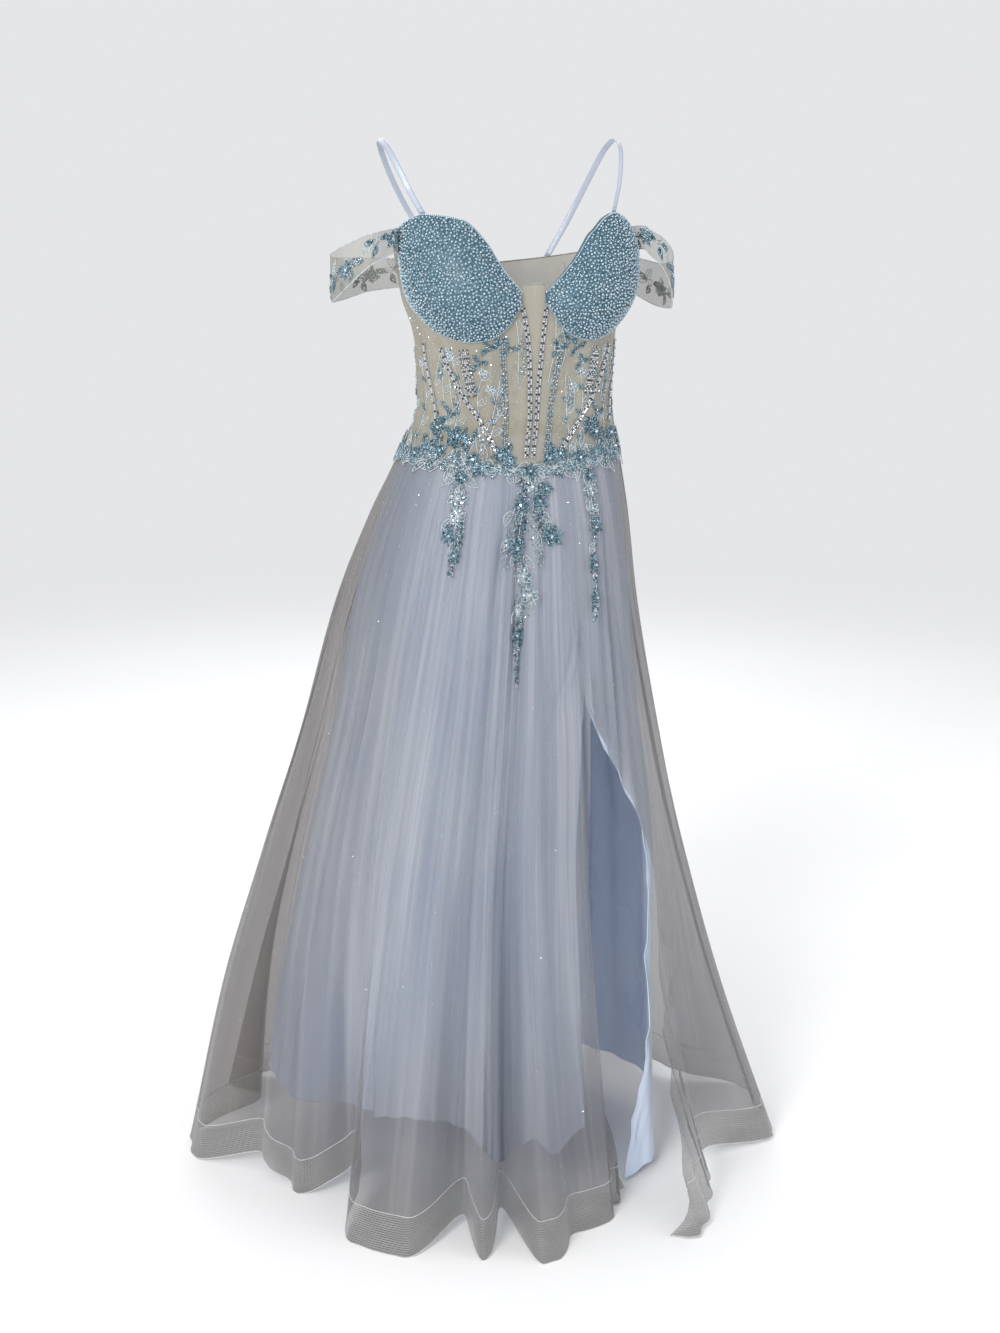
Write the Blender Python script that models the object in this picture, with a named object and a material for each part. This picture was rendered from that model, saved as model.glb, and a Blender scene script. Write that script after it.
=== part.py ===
"""An a-line tulle gown that keeps the shape it has when worn, as hollow walls of cloth.

Metres, +Z up. The front faces -Y, and the wearer's left is +X. The origin lies midway between the
undersides of the two straps on the shoulders, where the wearer holds the gown up, so the floor is
at z = -SHOULDER_HEIGHT.

Most of the gown lies on surfaces around a moving centre line. A place on them is a turn in degrees,
0 at the front centre and 90 at the wearer's left side, and a height.
"""

import math

import bmesh
import bpy
from mathutils import Matrix, Vector

MM = 0.001

# Driving dimensions.
SHOULDER_HEIGHT = 1.390
FLOOR = -SHOULDER_HEIGHT
STRAP_SPREAD = 0.153  # from the middle of the body to each strap, on the shoulder
WAIST_SEAM = -0.386  # at the sides
WAIST_DIP = 0.011  # how much lower the seam is at the front centre
CLOTH = 1.5 * MM
PADDING = 3.0 * MM  # the cups' foam
SEAM_GAP = 0.4 * MM
WAIST_GAP = 0.7 * MM  # between the tulle and the lining at the seam
LINING_DROP = 1.0 * MM  # how far under the seam the lining starts
CUP_SEAM = 0.8 * MM  # between a cup and the panel under it
LAYER_GAP = 9.0 * MM  # free space between the tulle and the lining, away from the waist
BRAID_WIDTH = 50 * MM  # the stiff hem braid
BRAID_SEAM = 0.6 * MM
CUP_RISE = 34 * MM
STRAP_WIDTH = 8 * MM
BONE_WIDTH = 6 * MM
BONE_THICK = 1.6 * MM
BONE_LIFT = 0.5 * MM
TRIM_THICK = 1.2 * MM
TRIM_LIFT = 0.8 * MM  # the lace stands this far off the front
BACK_LIFT = 1.4 * MM  # and this far off the more curved back
SIDE_SEAM = 80.0  # bodice side seams, in degrees
SKIRT_SIDE_SEAM = 96.0
CUP_INNER = 7.9
CUP_OUTER = SIDE_SEAM - 0.2
SLIT_TOP = -0.705
FOLD_CLEARANCE = (-5.0, -2.5, 2.5, 5.0)  # turns where the lining also keeps clear of the tulle
FOLD_GROWTH = 2.1  # the folds deepen towards the hem with this power of the way down
ZIP_TOP = -0.160
ZIP_END = -0.530
ZIP_CLOSING = 0.075  # the back seam closes over this height under the zip
ZIP_SLOT = 3.6 * MM
ZIP_SEWN_TURN = 22.0  # how far round from the back seam the zip holds tulle and lining together
ZIP_SEWN_GAP = 1.2 * MM  # between the tulle and the lining there
ZIP_DEPTHS = (2.2 * MM, 6.1 * MM)  # from the gown's outside to the tape, on bodice and skirt
ZIP_TAPE_WIDTH = 18 * MM


class Curve:
    """A smooth line through pairs of place and value, level at every crest and valley."""

    def __init__(self, pairs):
        self.pairs = sorted(pairs)
        slopes = [(b[1] - a[1]) / (b[0] - a[0]) for a, b in zip(self.pairs, self.pairs[1:])]
        self.tangents = [slopes[0]]
        for before, after in zip(slopes, slopes[1:]):
            same_way = before * after > 0
            self.tangents.append(2 * before * after / (before + after) if same_way else 0.0)
        self.tangents.append(slopes[-1])

    def __call__(self, place):
        place = min(max(place, self.pairs[0][0]), self.pairs[-1][0])
        index = 0
        while index < len(self.pairs) - 2 and place > self.pairs[index + 1][0]:
            index += 1
        (x0, y0), (x1, y1) = self.pairs[index], self.pairs[index + 1]
        width = x1 - x0
        t = (place - x0) / width
        ease = t * t * (3 - 2 * t)
        leave = width * self.tangents[index] * t * (1 - t) ** 2
        arrive = width * self.tangents[index + 1] * t * t * (t - 1)
        return y0 + (y1 - y0) * ease + leave + arrive


def curves(names, rows):
    """One Curve for each named column but the first, which is the place."""
    names = names.split()[1:]
    return {name: Curve([(row[0], row[i + 1]) for row in rows]) for i, name in enumerate(names)}


def all_round(names, rows):
    """The same for a table of turns, repeated so that it closes."""
    turned = [(row[0] + lap, *row[1:]) for lap in (-360, 0, 360) for row in rows]
    return curves(names, turned)


# The gown's outer cross sections: the centre and the reach from it to each side.
GOWN = curves(
    "height centre_x centre_y right left front back",
    (
        (-0.085, 0.012, 0.010, 0.158, 0.158, 0.098, 0.084),
        (-0.130, 0.016, 0.008, 0.153, 0.153, 0.105, 0.088),
        (-0.190, 0.018, 0.005, 0.146, 0.146, 0.107, 0.090),
        (-0.250, 0.020, 0.003, 0.131, 0.131, 0.104, 0.089),
        (-0.327, 0.020, 0.002, 0.129, 0.129, 0.095, 0.087),
        (-0.400, 0.012, 0.005, 0.149, 0.150, 0.107, 0.100),
        (-0.470, 0.010, 0.010, 0.180, 0.165, 0.125, 0.127),
        (-0.600, 0.005, 0.020, 0.225, 0.188, 0.150, 0.170),
        (-0.750, -0.005, 0.025, 0.255, 0.223, 0.180, 0.215),
        (-0.950, -0.018, 0.030, 0.303, 0.270, 0.215, 0.260),
        (-1.150, -0.025, 0.030, 0.350, 0.318, 0.252, 0.310),
        (FLOOR, -0.030, 0.030, 0.385, 0.385, 0.310, 0.370),
    ),
)
# The lining's free reach, which it has where the tulle leaves it room.
LINING = curves(
    "height right left front back",
    (
        (-0.400, 0.147, 0.148, 0.105, 0.098),
        (-0.470, 0.168, 0.156, 0.119, 0.119),
        (-0.600, 0.198, 0.178, 0.141, 0.155),
        (-0.750, 0.211, 0.203, 0.162, 0.185),
        (-0.950, 0.240, 0.243, 0.195, 0.210),
        (-1.150, 0.270, 0.252, 0.225, 0.235),
        (FLOOR, 0.292, 0.262, 0.252, 0.255),
    ),
)

# A row for each crest and valley of the tulle's hem: how far it reaches from the hem's centre, and
# how high it stands off the floor.
TULLE_FOLD_ROWS = (
    (40, 0.263, 0.010),
    (24, 0.300, 0.000),
    (11, 0.318, 0.000),
    (1, 0.369, 0.000),
    (-5, 0.252, 0.022),
    (-11, 0.347, 0.000),
    (-17, 0.262, 0.018),
    (-29, 0.342, 0.000),
    (-42, 0.337, 0.000),
    (-57, 0.228, 0.046),
    (-69, 0.300, 0.000),
    (-84, 0.322, 0.030),
    (-95, 0.405, 0.000),
    (-104, 0.416, 0.000),
    (-117, 0.330, 0.024),
    (-129, 0.415, 0.000),
    (-142, 0.325, 0.018),
    (-154, 0.422, 0.000),
    (-167, 0.340, 0.024),
    (-179, 0.418, 0.000),
    (168, 0.345, 0.020),
    (154, 0.430, 0.000),
    (141, 0.340, 0.026),
    (128, 0.428, 0.000),
    (113, 0.345, 0.020),
    (95, 0.442, 0.000),
    (75, 0.432, 0.004),
    (58, 0.330, 0.026),
)
TULLE_FOLDS = all_round("turn reach lift", TULLE_FOLD_ROWS)
# Under the top of the slit, the left panel swings out in front of it, by this much at the hem.
SWING_ROWS = (
    (28, 0.095),
    (34.5, 0.144),
    (43, 0.125),
    (51, 0.070),
    (60, -0.002),
    (67, -0.036),
    (75, 0.000),
    (97, 0.000),
)
SWING = curves("turn out", SWING_ROWS)
# The lining's own folds at its hem: how far they stand out or in, and the height of the hem.
LINING_FOLDS = all_round(
    "turn out hem",
    (
        (34, 0.000, -1.300),
        (23, 0.006, -1.276),
        (13, -0.006, -1.306),
        (4, 0.012, -1.272),
        (-6, -0.012, -1.308),
        (-16, 0.010, -1.262),
        (-32, 0.016, -1.238),
        (-55, -0.030, -1.262),
        (-78, 0.010, -1.262),
        (-100, 0.022, -1.246),
        (-128, -0.014, -1.300),
        (-155, 0.020, -1.322),
        (180, -0.012, -1.336),
        (155, 0.020, -1.338),
        (128, -0.014, -1.334),
        (102, 0.014, -1.342),
        (78, -0.008, -1.352),
        (56, 0.010, -1.372),
        (43, 0.034, -1.384),
    ),
)

# The left front seam, as turns at each height, and under it the slit's free edges.
SLIT_SEAM = curves("height turn", ((-0.385, 39.0), (-0.550, 34.0), (SLIT_TOP, 31.5)))
SLIT = curves(
    "height tulle_front tulle_left lining_front lining_left",
    (
        (SLIT_TOP, 31.5, 31.5, 31.5, 31.5),
        (-0.750, 31.2, 37.0, 29.5, 39.0),
        (-0.820, 31.0, 47.0, 27.8, 51.0),
        (-0.890, 30.8, 55.0, 25.5, 60.0),
        (-0.965, 30.2, 58.5, 24.4, 67.0),
        (-1.050, 29.2, 56.0, 24.0, 66.0),
        (-1.175, 28.5, 47.5, 23.2, 60.0),
        (-1.300, 31.5, 37.0, 23.5, 49.0),
        (FLOOR, 38.0, 29.0, 24.0, 42.0),
    ),
)

# The level rows of the skirt's panels, from the lowest up. The layers share the upper ones.
UPPER_LEVELS = (SLIT_TOP, -0.605, -0.530, -0.470, -0.432, -0.408)
LEVELS = {
    "tulle": (-1.190, -1.030, -0.860, *UPPER_LEVELS),
    "lining": (-1.190, -0.950, *UPPER_LEVELS),
}

# The bodice's inner lines, as turns either side of the front centre.
BONES = curves(
    "height centre slant short side",
    (
        (-0.190, 7.4, 73.0, 48.5, 78.0),
        (-0.250, 3.5, 63.0, 47.5, 76.5),
        (-0.310, 1.8, 50.0, 44.0, 71.0),
        (-0.350, 1.4, 35.0, 42.0, 67.0),
        (-0.400, 1.2, 14.0, 41.0, 62.0),
    ),
)
# The cups' lower and upper outlines, and the top edge of the back.
CUP = curves(
    "turn low high",
    (
        (CUP_INNER, -0.195, -0.182),
        (20, -0.228, -0.152),
        (30, -0.240, -0.118),
        (43, -0.244, -0.094),
        (62, -0.234, -0.088),
        (CUP_OUTER, -0.200, -0.106),
    ),
)
# How far the left cup's top edge runs below the right one's, so that it comes to a closer point.
LEFT_CUP_DROP = Curve(
    (
        (CUP_INNER, 0.000),
        (20, 0.008),
        (30, 0.022),
        (43, 0.016),
        (54, 0.004),
        (62, 0.000),
        (CUP_OUTER, 0.000),
    )
)
BACK_TOP = curves(
    "turn height",
    ((SIDE_SEAM, -0.106), (87, -0.112), (100, -0.132), (140, -0.150), (180, -0.157)),
)
PLUNGE_TOP = -0.172


def heading(turn):
    """The level direction at a turn."""
    angle = math.radians(turn)
    return Vector((math.sin(angle), -math.cos(angle), 0.0))


def wrap(turn):
    """The same turn between -180 and 180."""
    return (turn + 180) % 360 - 180


def oval(section, turn, height):
    """The distance from the centre line to the section's outline."""
    angle = math.radians(turn)
    across = section["left" if math.sin(angle) > 0 else "right"](height)
    along = section["front" if math.cos(angle) > 0 else "back"](height)
    return 1 / math.hypot(math.sin(angle) / across, math.cos(angle) / along)


def centre(height):
    return Vector((GOWN["centre_x"](height), GOWN["centre_y"](height), height))


def seam_height(turn):
    """The waist seam, which dips to the front."""
    return WAIST_SEAM - WAIST_DIP * max(0.0, math.cos(math.radians(turn))) ** 2


def way_down(turn, height):
    """0 at the waist seam and 1 at the floor."""
    top = seam_height(turn)
    return min(max((top - height) / (top - FLOOR), 0.0), 1.0)


def bodice_radius(turn, height):
    return oval(GOWN, turn, height)


def tulle_radius(turn, height):
    depth = way_down(turn, height) ** FOLD_GROWTH
    fold = TULLE_FOLDS["reach"](turn) - oval(GOWN, turn, FLOOR)
    return oval(GOWN, turn, height) + fold * depth


def left_tulle_radius(turn, height):
    below = min(max((SLIT_TOP - height) / (SLIT_TOP - FLOOR), 0.0), 1.0)
    return tulle_radius(turn, height) + SWING["out"](turn) * below**FOLD_GROWTH


def ease(share):
    """0 to 1, level at both ends."""
    share = min(max(share, 0.0), 1.0)
    return share * share * (3 - 2 * share)


def lining_radius(turn, height):
    """The lining hangs by itself, but never nearer to the tulle than their gap. Along the zip the
    two are sewn together."""
    down = way_down(turn, height)
    free = oval(LINING, turn, height) + LINING_FOLDS["out"](turn) * down**FOLD_GROWTH
    at_waist = CLOTH + WAIST_GAP
    gap = at_waist + (LAYER_GAP - at_waist) * min(down / 0.15, 1.0)
    outer = tulle_radius(turn, height)
    beside = [tulle_radius(turn + way * down, height) for way in FOLD_CLEARANCE]
    loose = min(free, outer - gap, min(beside) - gap)
    at_zip = ease(1.5 - 1.5 * (180 - abs(wrap(turn))) / ZIP_SEWN_TURN)
    at_zip *= ease((height - ZIP_END) / 0.06 + 1)
    sewn = outer - at_waist - ZIP_SEWN_GAP * ease(down / 0.04)
    return loose + (sewn - loose) * at_zip


def gown_radius(turn, height):
    """The outside of the bodice above the waist seam, and of the tulle below it."""
    return bodice_radius(turn, height) if height > seam_height(turn) else tulle_radius(turn, height)


def cup_top(turn):
    """The height of a cup's top edge. turn is above 0 on the left cup."""
    place = abs(wrap(turn))
    return CUP["high"](place) - (LEFT_CUP_DROP(place) if wrap(turn) > 0 else 0.0)


def cup_radius(turn, height):
    """The bodice with the cup's dome on it, which ends level at the cup's outline."""
    place = abs(wrap(turn))
    low, high = CUP["low"](place), cup_top(turn)
    up =min(max((height - low) / (high - low), 0.0), 1.0)
    across = min(max((place - CUP_INNER) / (CUP_OUTER - CUP_INNER), 0.0), 1.0)
    dome = (4 * up * (1 - up)) ** 0.72 * math.sin(math.pi * across) ** 0.62
    return bodice_radius(turn, height) + CUP_RISE * dome


def surface_point(radius, turn, height):
    return centre(height) + heading(turn) * radius(turn, height)


def surface_normal(radius, turn, height):
    """Points away from the body."""
    round_it = surface_point(radius, turn + 0.4, height) - surface_point(radius, turn - 0.4, height)
    up_it = surface_point(radius, turn, height + MM) - surface_point(radius, turn, height - MM)
    return round_it.cross(up_it).normalized()


def between(low, high, count):
    return [low + (high - low) * i / count for i in range(count + 1)]


def even(count):
    """The shares of the way across for a number of equal cells."""
    return between(0.0, 1.0, count)


def cloth_material(name, colour, roughness, metallic=0.0):
    material = bpy.data.materials.new(name)
    material.use_nodes = True
    shader = material.node_tree.nodes["Principled BSDF"]
    shader.inputs["Base Color"].default_value = (*colour, 1.0)
    shader.inputs["Roughness"].default_value = roughness
    shader.inputs["Metallic"].default_value = metallic
    material.diffuse_color = (*colour, 1.0)
    return material


def add_object(name, mesh, material):
    mesh.materials.append(material)
    piece = bpy.data.objects.new(name, mesh)
    bpy.context.collection.objects.link(piece)
    return piece


def wall(name, outside, normals, thickness, material):
    """A closed wall from a grid of points on its outer face, a list of columns, and their normals."""
    columns, rows = len(outside), len(outside[0])
    bm = bmesh.new()
    outer = [[bm.verts.new(p) for p in column] for column in outside]
    inner = [
        [bm.verts.new(p - n * thickness) for p, n in zip(column, facing)]
        for column, facing in zip(outside, normals)
    ]
    for i in range(columns - 1):
        for j in range(rows - 1):
            for grid, order in ((outer, 1), (inner, -1)):
                a, b = grid[i][j], grid[i + 1][j]
                c, d = grid[i + 1][j + 1], grid[i][j + 1]
                bm.faces.new((a, b, c)[::order])
                bm.faces.new((a, c, d)[::order])
    corners = [(i, 0) for i in range(columns)]
    corners += [(columns - 1, j) for j in range(1, rows)]
    corners += [(i, rows - 1) for i in range(columns - 2, -1, -1)]
    corners += [(0, j) for j in range(rows - 2, 0, -1)]
    for (i0, j0), (i1, j1) in zip(corners, corners[1:] + corners[:1]):
        bm.faces.new((outer[i1][j1], outer[i0][j0], inner[i0][j0], inner[i1][j1]))
    bmesh.ops.recalc_face_normals(bm, faces=bm.faces)
    mesh = bpy.data.meshes.new(name)
    bm.to_mesh(mesh)
    bm.free()
    mesh.shade_smooth()
    return add_object(name, mesh, material)


def panel(name, radius, edges, outline, grid, thickness, material, levels=()):
    """A panel of a surface. edges are the turns of its two side seams at a height, and outline its
    bottom and top heights at a turn. grid is the shares of the way across where its columns of
    points lie, and its number of rows of cells. These are even, or at levels shared with its
    neighbours."""
    first, last = edges
    bottom, top = outline
    shares, rows = grid

    def place(across, row):
        up = row / rows
        height = bottom(first(-0.3)) * (1 - up) + top(first(-0.3)) * up
        for _ in range(14):
            half_gap = math.degrees(0.5 * SEAM_GAP / radius(first(height), height))
            start, end = first(height) + half_gap, last(height) - half_gap
            turn = start + (end - start) * across
            height = bottom(turn) * (1 - up) + top(turn) * up
            if levels and 0 < row < rows:
                height = levels[row - 1]
        return turn, height

    places = [[place(share, row) for row in range(rows + 1)] for share in shares]
    outside = [[surface_point(radius, *at) for at in column] for column in places]
    normals = [[surface_normal(radius, *at) for at in column] for column in places]
    return wall(name, outside, normals, thickness, material)


def trim(name, radius, places, lift, thickness, material):
    """A wall that follows a surface, made from its points moved out."""
    normals = [[surface_normal(radius, *at) for at in column] for column in places]
    outside = [
        [surface_point(radius, *at) + n * (lift + thickness) for at, n in zip(column, facing)]
        for column, facing in zip(places, normals)
    ]
    return wall(name, outside, normals, thickness, material)


def strip_places(radius, route, half_widths, across=2):
    """A grid of places on a surface, across cells wide, either side of a route of turns and heights
    that runs downwards."""
    places = []
    for k in range(across + 1):
        side = 2 * k / across - 1
        column = []
        for i, (turn, height) in reversed(list(enumerate(route))):
            before, after = route[max(i - 1, 0)], route[min(i + 1, len(route) - 1)]
            way = surface_point(radius, *after) - surface_point(radius, *before)
            out = surface_normal(radius, turn, height)
            step = way.normalized().cross(out) * (side * half_widths[i])
            angle = math.radians(turn)
            round_it = step.dot(Vector((math.cos(angle), math.sin(angle), 0.0)))
            reach = radius(turn, height)
            column.append((turn + math.degrees(round_it / reach), height + step.z))
        places.append(column)
    return places if places[0][0][0] < places[-1][0][0] else places[::-1]


def mirrored(side, column):
    """A bone's turn on the left (side 1) or right (side -1)."""
    return lambda height: side * BONES[column](height)


def fixed(turn):
    return lambda height: turn


def ordered(side, inner, outer):
    """Two edge lines in rising order of turn, for either side of the body."""
    return (inner, outer) if side > 0 else (outer, inner)


SIDES = (("right", -1), ("left", 1))


def build_bodice(mesh_cloth):
    """Sheer panels between the bones, under the cups and round the back."""

    def top_under_cup(turn):
        return CUP["low"](abs(turn)) - CUP_SEAM

    def bottom(turn):
        return seam_height(turn) + SEAM_GAP / 2

    def plunge(turn):
        return PLUNGE_TOP

    edges = (mirrored(-1, "centre"), mirrored(1, "centre"))
    panel("centre_front", bodice_radius, edges, (bottom, plunge), (even(2), 10), CLOTH, mesh_cloth)
    for name, side in SIDES:
        lines = ordered(side, mirrored(side, "centre"), mirrored(side, "slant"))
        outline = (bottom, top_under_cup)
        panel(f"front_{name}", bodice_radius, lines, outline, (even(7), 9), CLOTH, mesh_cloth)
        lines = ordered(side, mirrored(side, "slant"), fixed(side * SIDE_SEAM))
        panel(f"side_front_{name}", bodice_radius, lines, outline, (even(5), 9), CLOTH, mesh_cloth)
        back_edge = fixed(side * (180 - math.degrees(ZIP_SLOT / 2 / GOWN["back"](-0.25))))
        lines = ordered(side, fixed(side * SIDE_SEAM), back_edge)

        def back_top(turn):
            return BACK_TOP["height"](abs(turn))

        grid = (even(8), 10)
        panel(f"back_{name}", bodice_radius, lines, (bottom, back_top), grid, CLOTH, mesh_cloth)


def build_cups(beaded):
    def low(turn):
        return CUP["low"](abs(turn))

    for name, side in SIDES:
        lines = ordered(side, fixed(side * CUP_INNER), fixed(side * CUP_OUTER))
        panel(f"cup_{name}", cup_radius, lines, (low, cup_top), (even(10), 6), PADDING, beaded)


def build_bones(crystal):
    """Crystal trimmed boning on the bodice's seams and panels."""
    for name, side in SIDES:
        for column, top, bottom in (
            ("centre", -0.200, -0.388),
            ("slant", -0.252, -0.380),
            ("short", -0.252, -0.312),
            ("side", -0.248, -0.350),
        ):
            # The centre bones stand just outside their seams, so that the two stay apart.
            shift = 1.2 if column == "centre" else 0.0
            route = [(side * (BONES[column](h) + shift), h) for h in between(top, bottom, 7)]
            places = strip_places(bodice_radius, route, [BONE_WIDTH / 2] * 8, 1)
            trim(f"{column}_bone_{name}", bodice_radius, places, BONE_LIFT, BONE_THICK, crystal)


# A row for each stretch of a sleeve band, from its front end to its back end: the distance from
# the body's middle, the distance behind it, and the heights of its two edges.
SLEEVE = curves(
    "way out back top bottom",
    (
        (0.00, 0.161, -0.040, -0.105, -0.134),
        (0.22, 0.196, -0.053, -0.111, -0.148),
        (0.50, 0.238, 0.000, -0.137, -0.197),
        (0.75, 0.224, 0.047, -0.145, -0.200),
        (1.00, 0.178, 0.076, -0.147, -0.190),
    ),
)
SLEEVE_MIDDLE = 0.020
SLEEVE_ROOT = 0.150  # where the band leaves the bodice
# Its sewn ends on the bodice: turn, top and bottom.
SLEEVE_FRONT_END = ((86.0, -0.113, -0.139), (82.0, -0.109, -0.136))
SLEEVE_BACK_END = ((113.0, -0.148, -0.182), (120.0, -0.149, -0.180))
SLEEVE_SHAPE = {"right": (0.238, 0.0), "left": (0.211, 0.016)}  # outermost reach and extra drop
SLEEVE_LIFT = 0.7 * MM


def sleeve_end(side, turn, top, bottom, lift):
    column = []
    for height in between(bottom, top, 3):
        facing = surface_normal(bodice_radius, side * turn, height)
        column.append(surface_point(bodice_radius, side * turn, height) + facing * lift)
    return column


def build_sleeves(mesh_cloth):
    """Off-the-shoulder bands round the upper arms, sewn beside the cup and on the back."""
    for name, side in SIDES:
        reach, drop = SLEEVE_SHAPE[name]
        stretch = (reach - SLEEVE_ROOT) / (SLEEVE["out"](0.5) - SLEEVE_ROOT)
        outside = [sleeve_end(side, *end, SLEEVE_LIFT) for end in SLEEVE_FRONT_END]
        for way in between(0.0, 1.0, 10):
            out = SLEEVE_ROOT + (SLEEVE["out"](way) - SLEEVE_ROOT) * stretch
            lower = drop * math.sin(math.pi * way)
            heights = between(SLEEVE["bottom"](way) - lower, SLEEVE["top"](way) - lower, 3)
            across = SLEEVE_MIDDLE + side * out
            outside.append([Vector((across, SLEEVE["back"](way), height)) for height in heights])
        outside += [sleeve_end(side, *end, SLEEVE_LIFT + CLOTH) for end in SLEEVE_BACK_END]
        wall(f"sleeve_{name}", outside, grid_normals(outside, side), CLOTH, mesh_cloth)


def grid_normals(grid, side=1):
    """Normals of a grid of points from its neighbours, turned round where side is -1."""
    columns, rows = len(grid), len(grid[0])
    normals = []
    for i in range(columns):
        column = []
        for j in range(rows):
            along = grid[min(i + 1, columns - 1)][j] - grid[max(i - 1, 0)][j]
            up = grid[i][min(j + 1, rows - 1)] - grid[i][max(j - 1, 0)]
            column.append(along.cross(up).normalized() * side)
        normals.append(column)
    return normals


# The middle of the right strap's underside, from the cup over the shoulder to the back.
STRAP_ROUTE = (
    (-0.1170, -0.0520, -0.0868),
    (-0.1300, -0.0500, -0.0600),
    (-0.1420, -0.0360, -0.0290),
    (-0.1500, -0.0130, -0.0070),
    (-STRAP_SPREAD, 0.0140, 0.0000),
    (-0.1490, 0.0410, -0.0110),
    (-0.1360, 0.0660, -0.0450),
    (-0.1100, 0.0850, -0.1000),
    (-0.0790, 0.0885, -0.1480),
)
STRAP_CELLS = 18
STRAP_TURNS = (64.0, 139.0)  # where it is sewn on the cup and on the back


def strap_route(side):
    """The strap's underside, moved at both ends to the edges that it is sewn on."""
    lines = [Curve([(i, point[axis]) for i, point in enumerate(STRAP_ROUTE)]) for axis in range(3)]
    steps = between(0, len(STRAP_ROUTE) - 1, STRAP_CELLS)
    route = [Vector((-side * lines[0](t), lines[1](t), lines[2](t))) for t in steps]
    clear = 1.1 * MM
    ends = (
        (STRAP_TURNS[0], CUP["high"](STRAP_TURNS[0]) + clear, 2.2 * MM),
        (STRAP_TURNS[1], BACK_TOP["height"](STRAP_TURNS[1]) + clear, CLOTH),
    )
    for (turn, height, inside), at in zip(ends, (0, STRAP_CELLS)):
        facing = surface_normal(bodice_radius, side * turn, height)
        shift = surface_point(bodice_radius, side * turn, height) - facing * inside - route[at]
        for k, point in enumerate(route):
            point += shift * (1 - abs(k - at) / STRAP_CELLS) ** 4
    return route


def build_straps(satin):
    """Flat ribbon straps over the shoulders."""
    for name, side in SIDES:
        route = strap_route(side)
        outside = []
        for k, point in enumerate(route):
            way = (route[min(k + 1, STRAP_CELLS)] - route[max(k - 1, 0)]).normalized()
            shoulder = Vector((0.02 + 0.62 * (point.x - 0.02), 0.012, -0.11))
            out = point - shoulder
            facing = (out - way * out.dot(way)).normalized()
            across = way.cross(facing)
            if k in (0, STRAP_CELLS):
                across.z = 0.0
            across = across.normalized() * (STRAP_WIDTH / 2)
            edge = point + facing * CLOTH
            outside.append([edge - across, edge + across])
        normals = [[-n for n in column] for column in grid_normals(outside)]
        wall(f"strap_{name}", outside, normals, CLOTH, satin)


LINING_COLUMNS = {"front": 20, "left": 8, "back_left": 10, "back_right": 10}
FOLD_APART = 3.0  # a fold nearer than this to a panel's edge has no column of its own
WIDEST_CELL = 7.0


def fold_shares(first, last, rows):
    """Shares of the way across a panel's hem: every crest and valley, and some between them."""
    turns = [row[0] + lap for row in rows for lap in (0, 360)]
    inside = sorted(turn for turn in turns if first + FOLD_APART < turn < last - FOLD_APART)
    stops = [first, *inside, last]
    turns = [first]
    for before, after in zip(stops, stops[1:]):
        turns += between(before, after, max(2, math.ceil((after - before) / WIDEST_CELL)))[1:]
    return [(turn - first) / (last - first) for turn in turns]


def build_skirt(tulle, braid, satin):
    """Tulle panels over lining panels, both slit at the left front, with braid along the hem."""

    def top(turn):
        return seam_height(turn) - SEAM_GAP / 2

    def lining_top(turn):
        return top(turn) - LINING_DROP

    def hem(turn):
        return FLOOR + TULLE_FOLDS["lift"](wrap(turn))

    def braid_top(turn):
        return hem(turn) + BRAID_WIDTH

    def tulle_bottom(turn):
        return braid_top(turn) + BRAID_SEAM

    def lining_hem(turn):
        return LINING_FOLDS["hem"](wrap(turn))

    def back_seam(side):
        """The back seam, which leaves room for the zip at its top."""

        def turn(height):
            open_share = min(max(1 + (height - ZIP_END) / ZIP_CLOSING, 0.0), 1.0)
            slot = open_share * math.degrees(ZIP_SLOT / 2 / GOWN["back"](height))
            return 180 - side * slot

        return turn

    def slit_edge(column):
        return lambda h: SLIT_SEAM["turn"](h) if h > SLIT_TOP else SLIT[column](h)

    for cloth in ("tulle", "lining"):
        edges = {
            "front": (fixed(-SKIRT_SIDE_SEAM), slit_edge(f"{cloth}_front")),
            "left": (slit_edge(f"{cloth}_left"), fixed(SKIRT_SIDE_SEAM)),
            "back_left": (fixed(SKIRT_SIDE_SEAM), back_seam(1)),
            "back_right": (back_seam(-1), fixed(360 - SKIRT_SIDE_SEAM)),
        }
        levels = LEVELS[cloth]
        for name, lines in edges.items():
            rows = len(levels) + 1
            if cloth == "lining":
                grid = (even(LINING_COLUMNS[name]), rows)
                outline = (lining_hem, lining_top)
                panel(f"lining_{name}", lining_radius, lines, outline, grid, CLOTH, satin, levels)
                continue
            radius = left_tulle_radius if name == "left" else tulle_radius
            folds = SWING_ROWS if name == "left" else TULLE_FOLD_ROWS
            shares = fold_shares(lines[0](FLOOR), lines[1](FLOOR), folds)
            grid = (shares, rows)
            outline = (tulle_bottom, top)
            panel(f"tulle_{name}", radius, lines, outline, grid, CLOTH, tulle, levels)
            outline = (hem, braid_top)
            panel(f"braid_{name}", radius, lines, outline, (shares, 1), CLOTH, braid)


# The lace on the waist: its upper edge, and how far it hangs below the seam.
WAIST_LACE = curves(
    "turn upper below",
    (
        (0, -0.3935, 0.020),
        (12, -0.3915, 0.022),
        (22, -0.3860, 0.026),
        (32, -0.3720, 0.024),
        (45, -0.3620, 0.028),
        (62, -0.3600, 0.022),
        (82, -0.3560, 0.020),
        (110, -0.3580, 0.018),
        (178, -0.3640, 0.016),
    ),
)
LACE_SCALLOP = 5 * MM
LACE_LEAF_TURN = 9.0  # a leaf and a dip of the lace's lower edge
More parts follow.
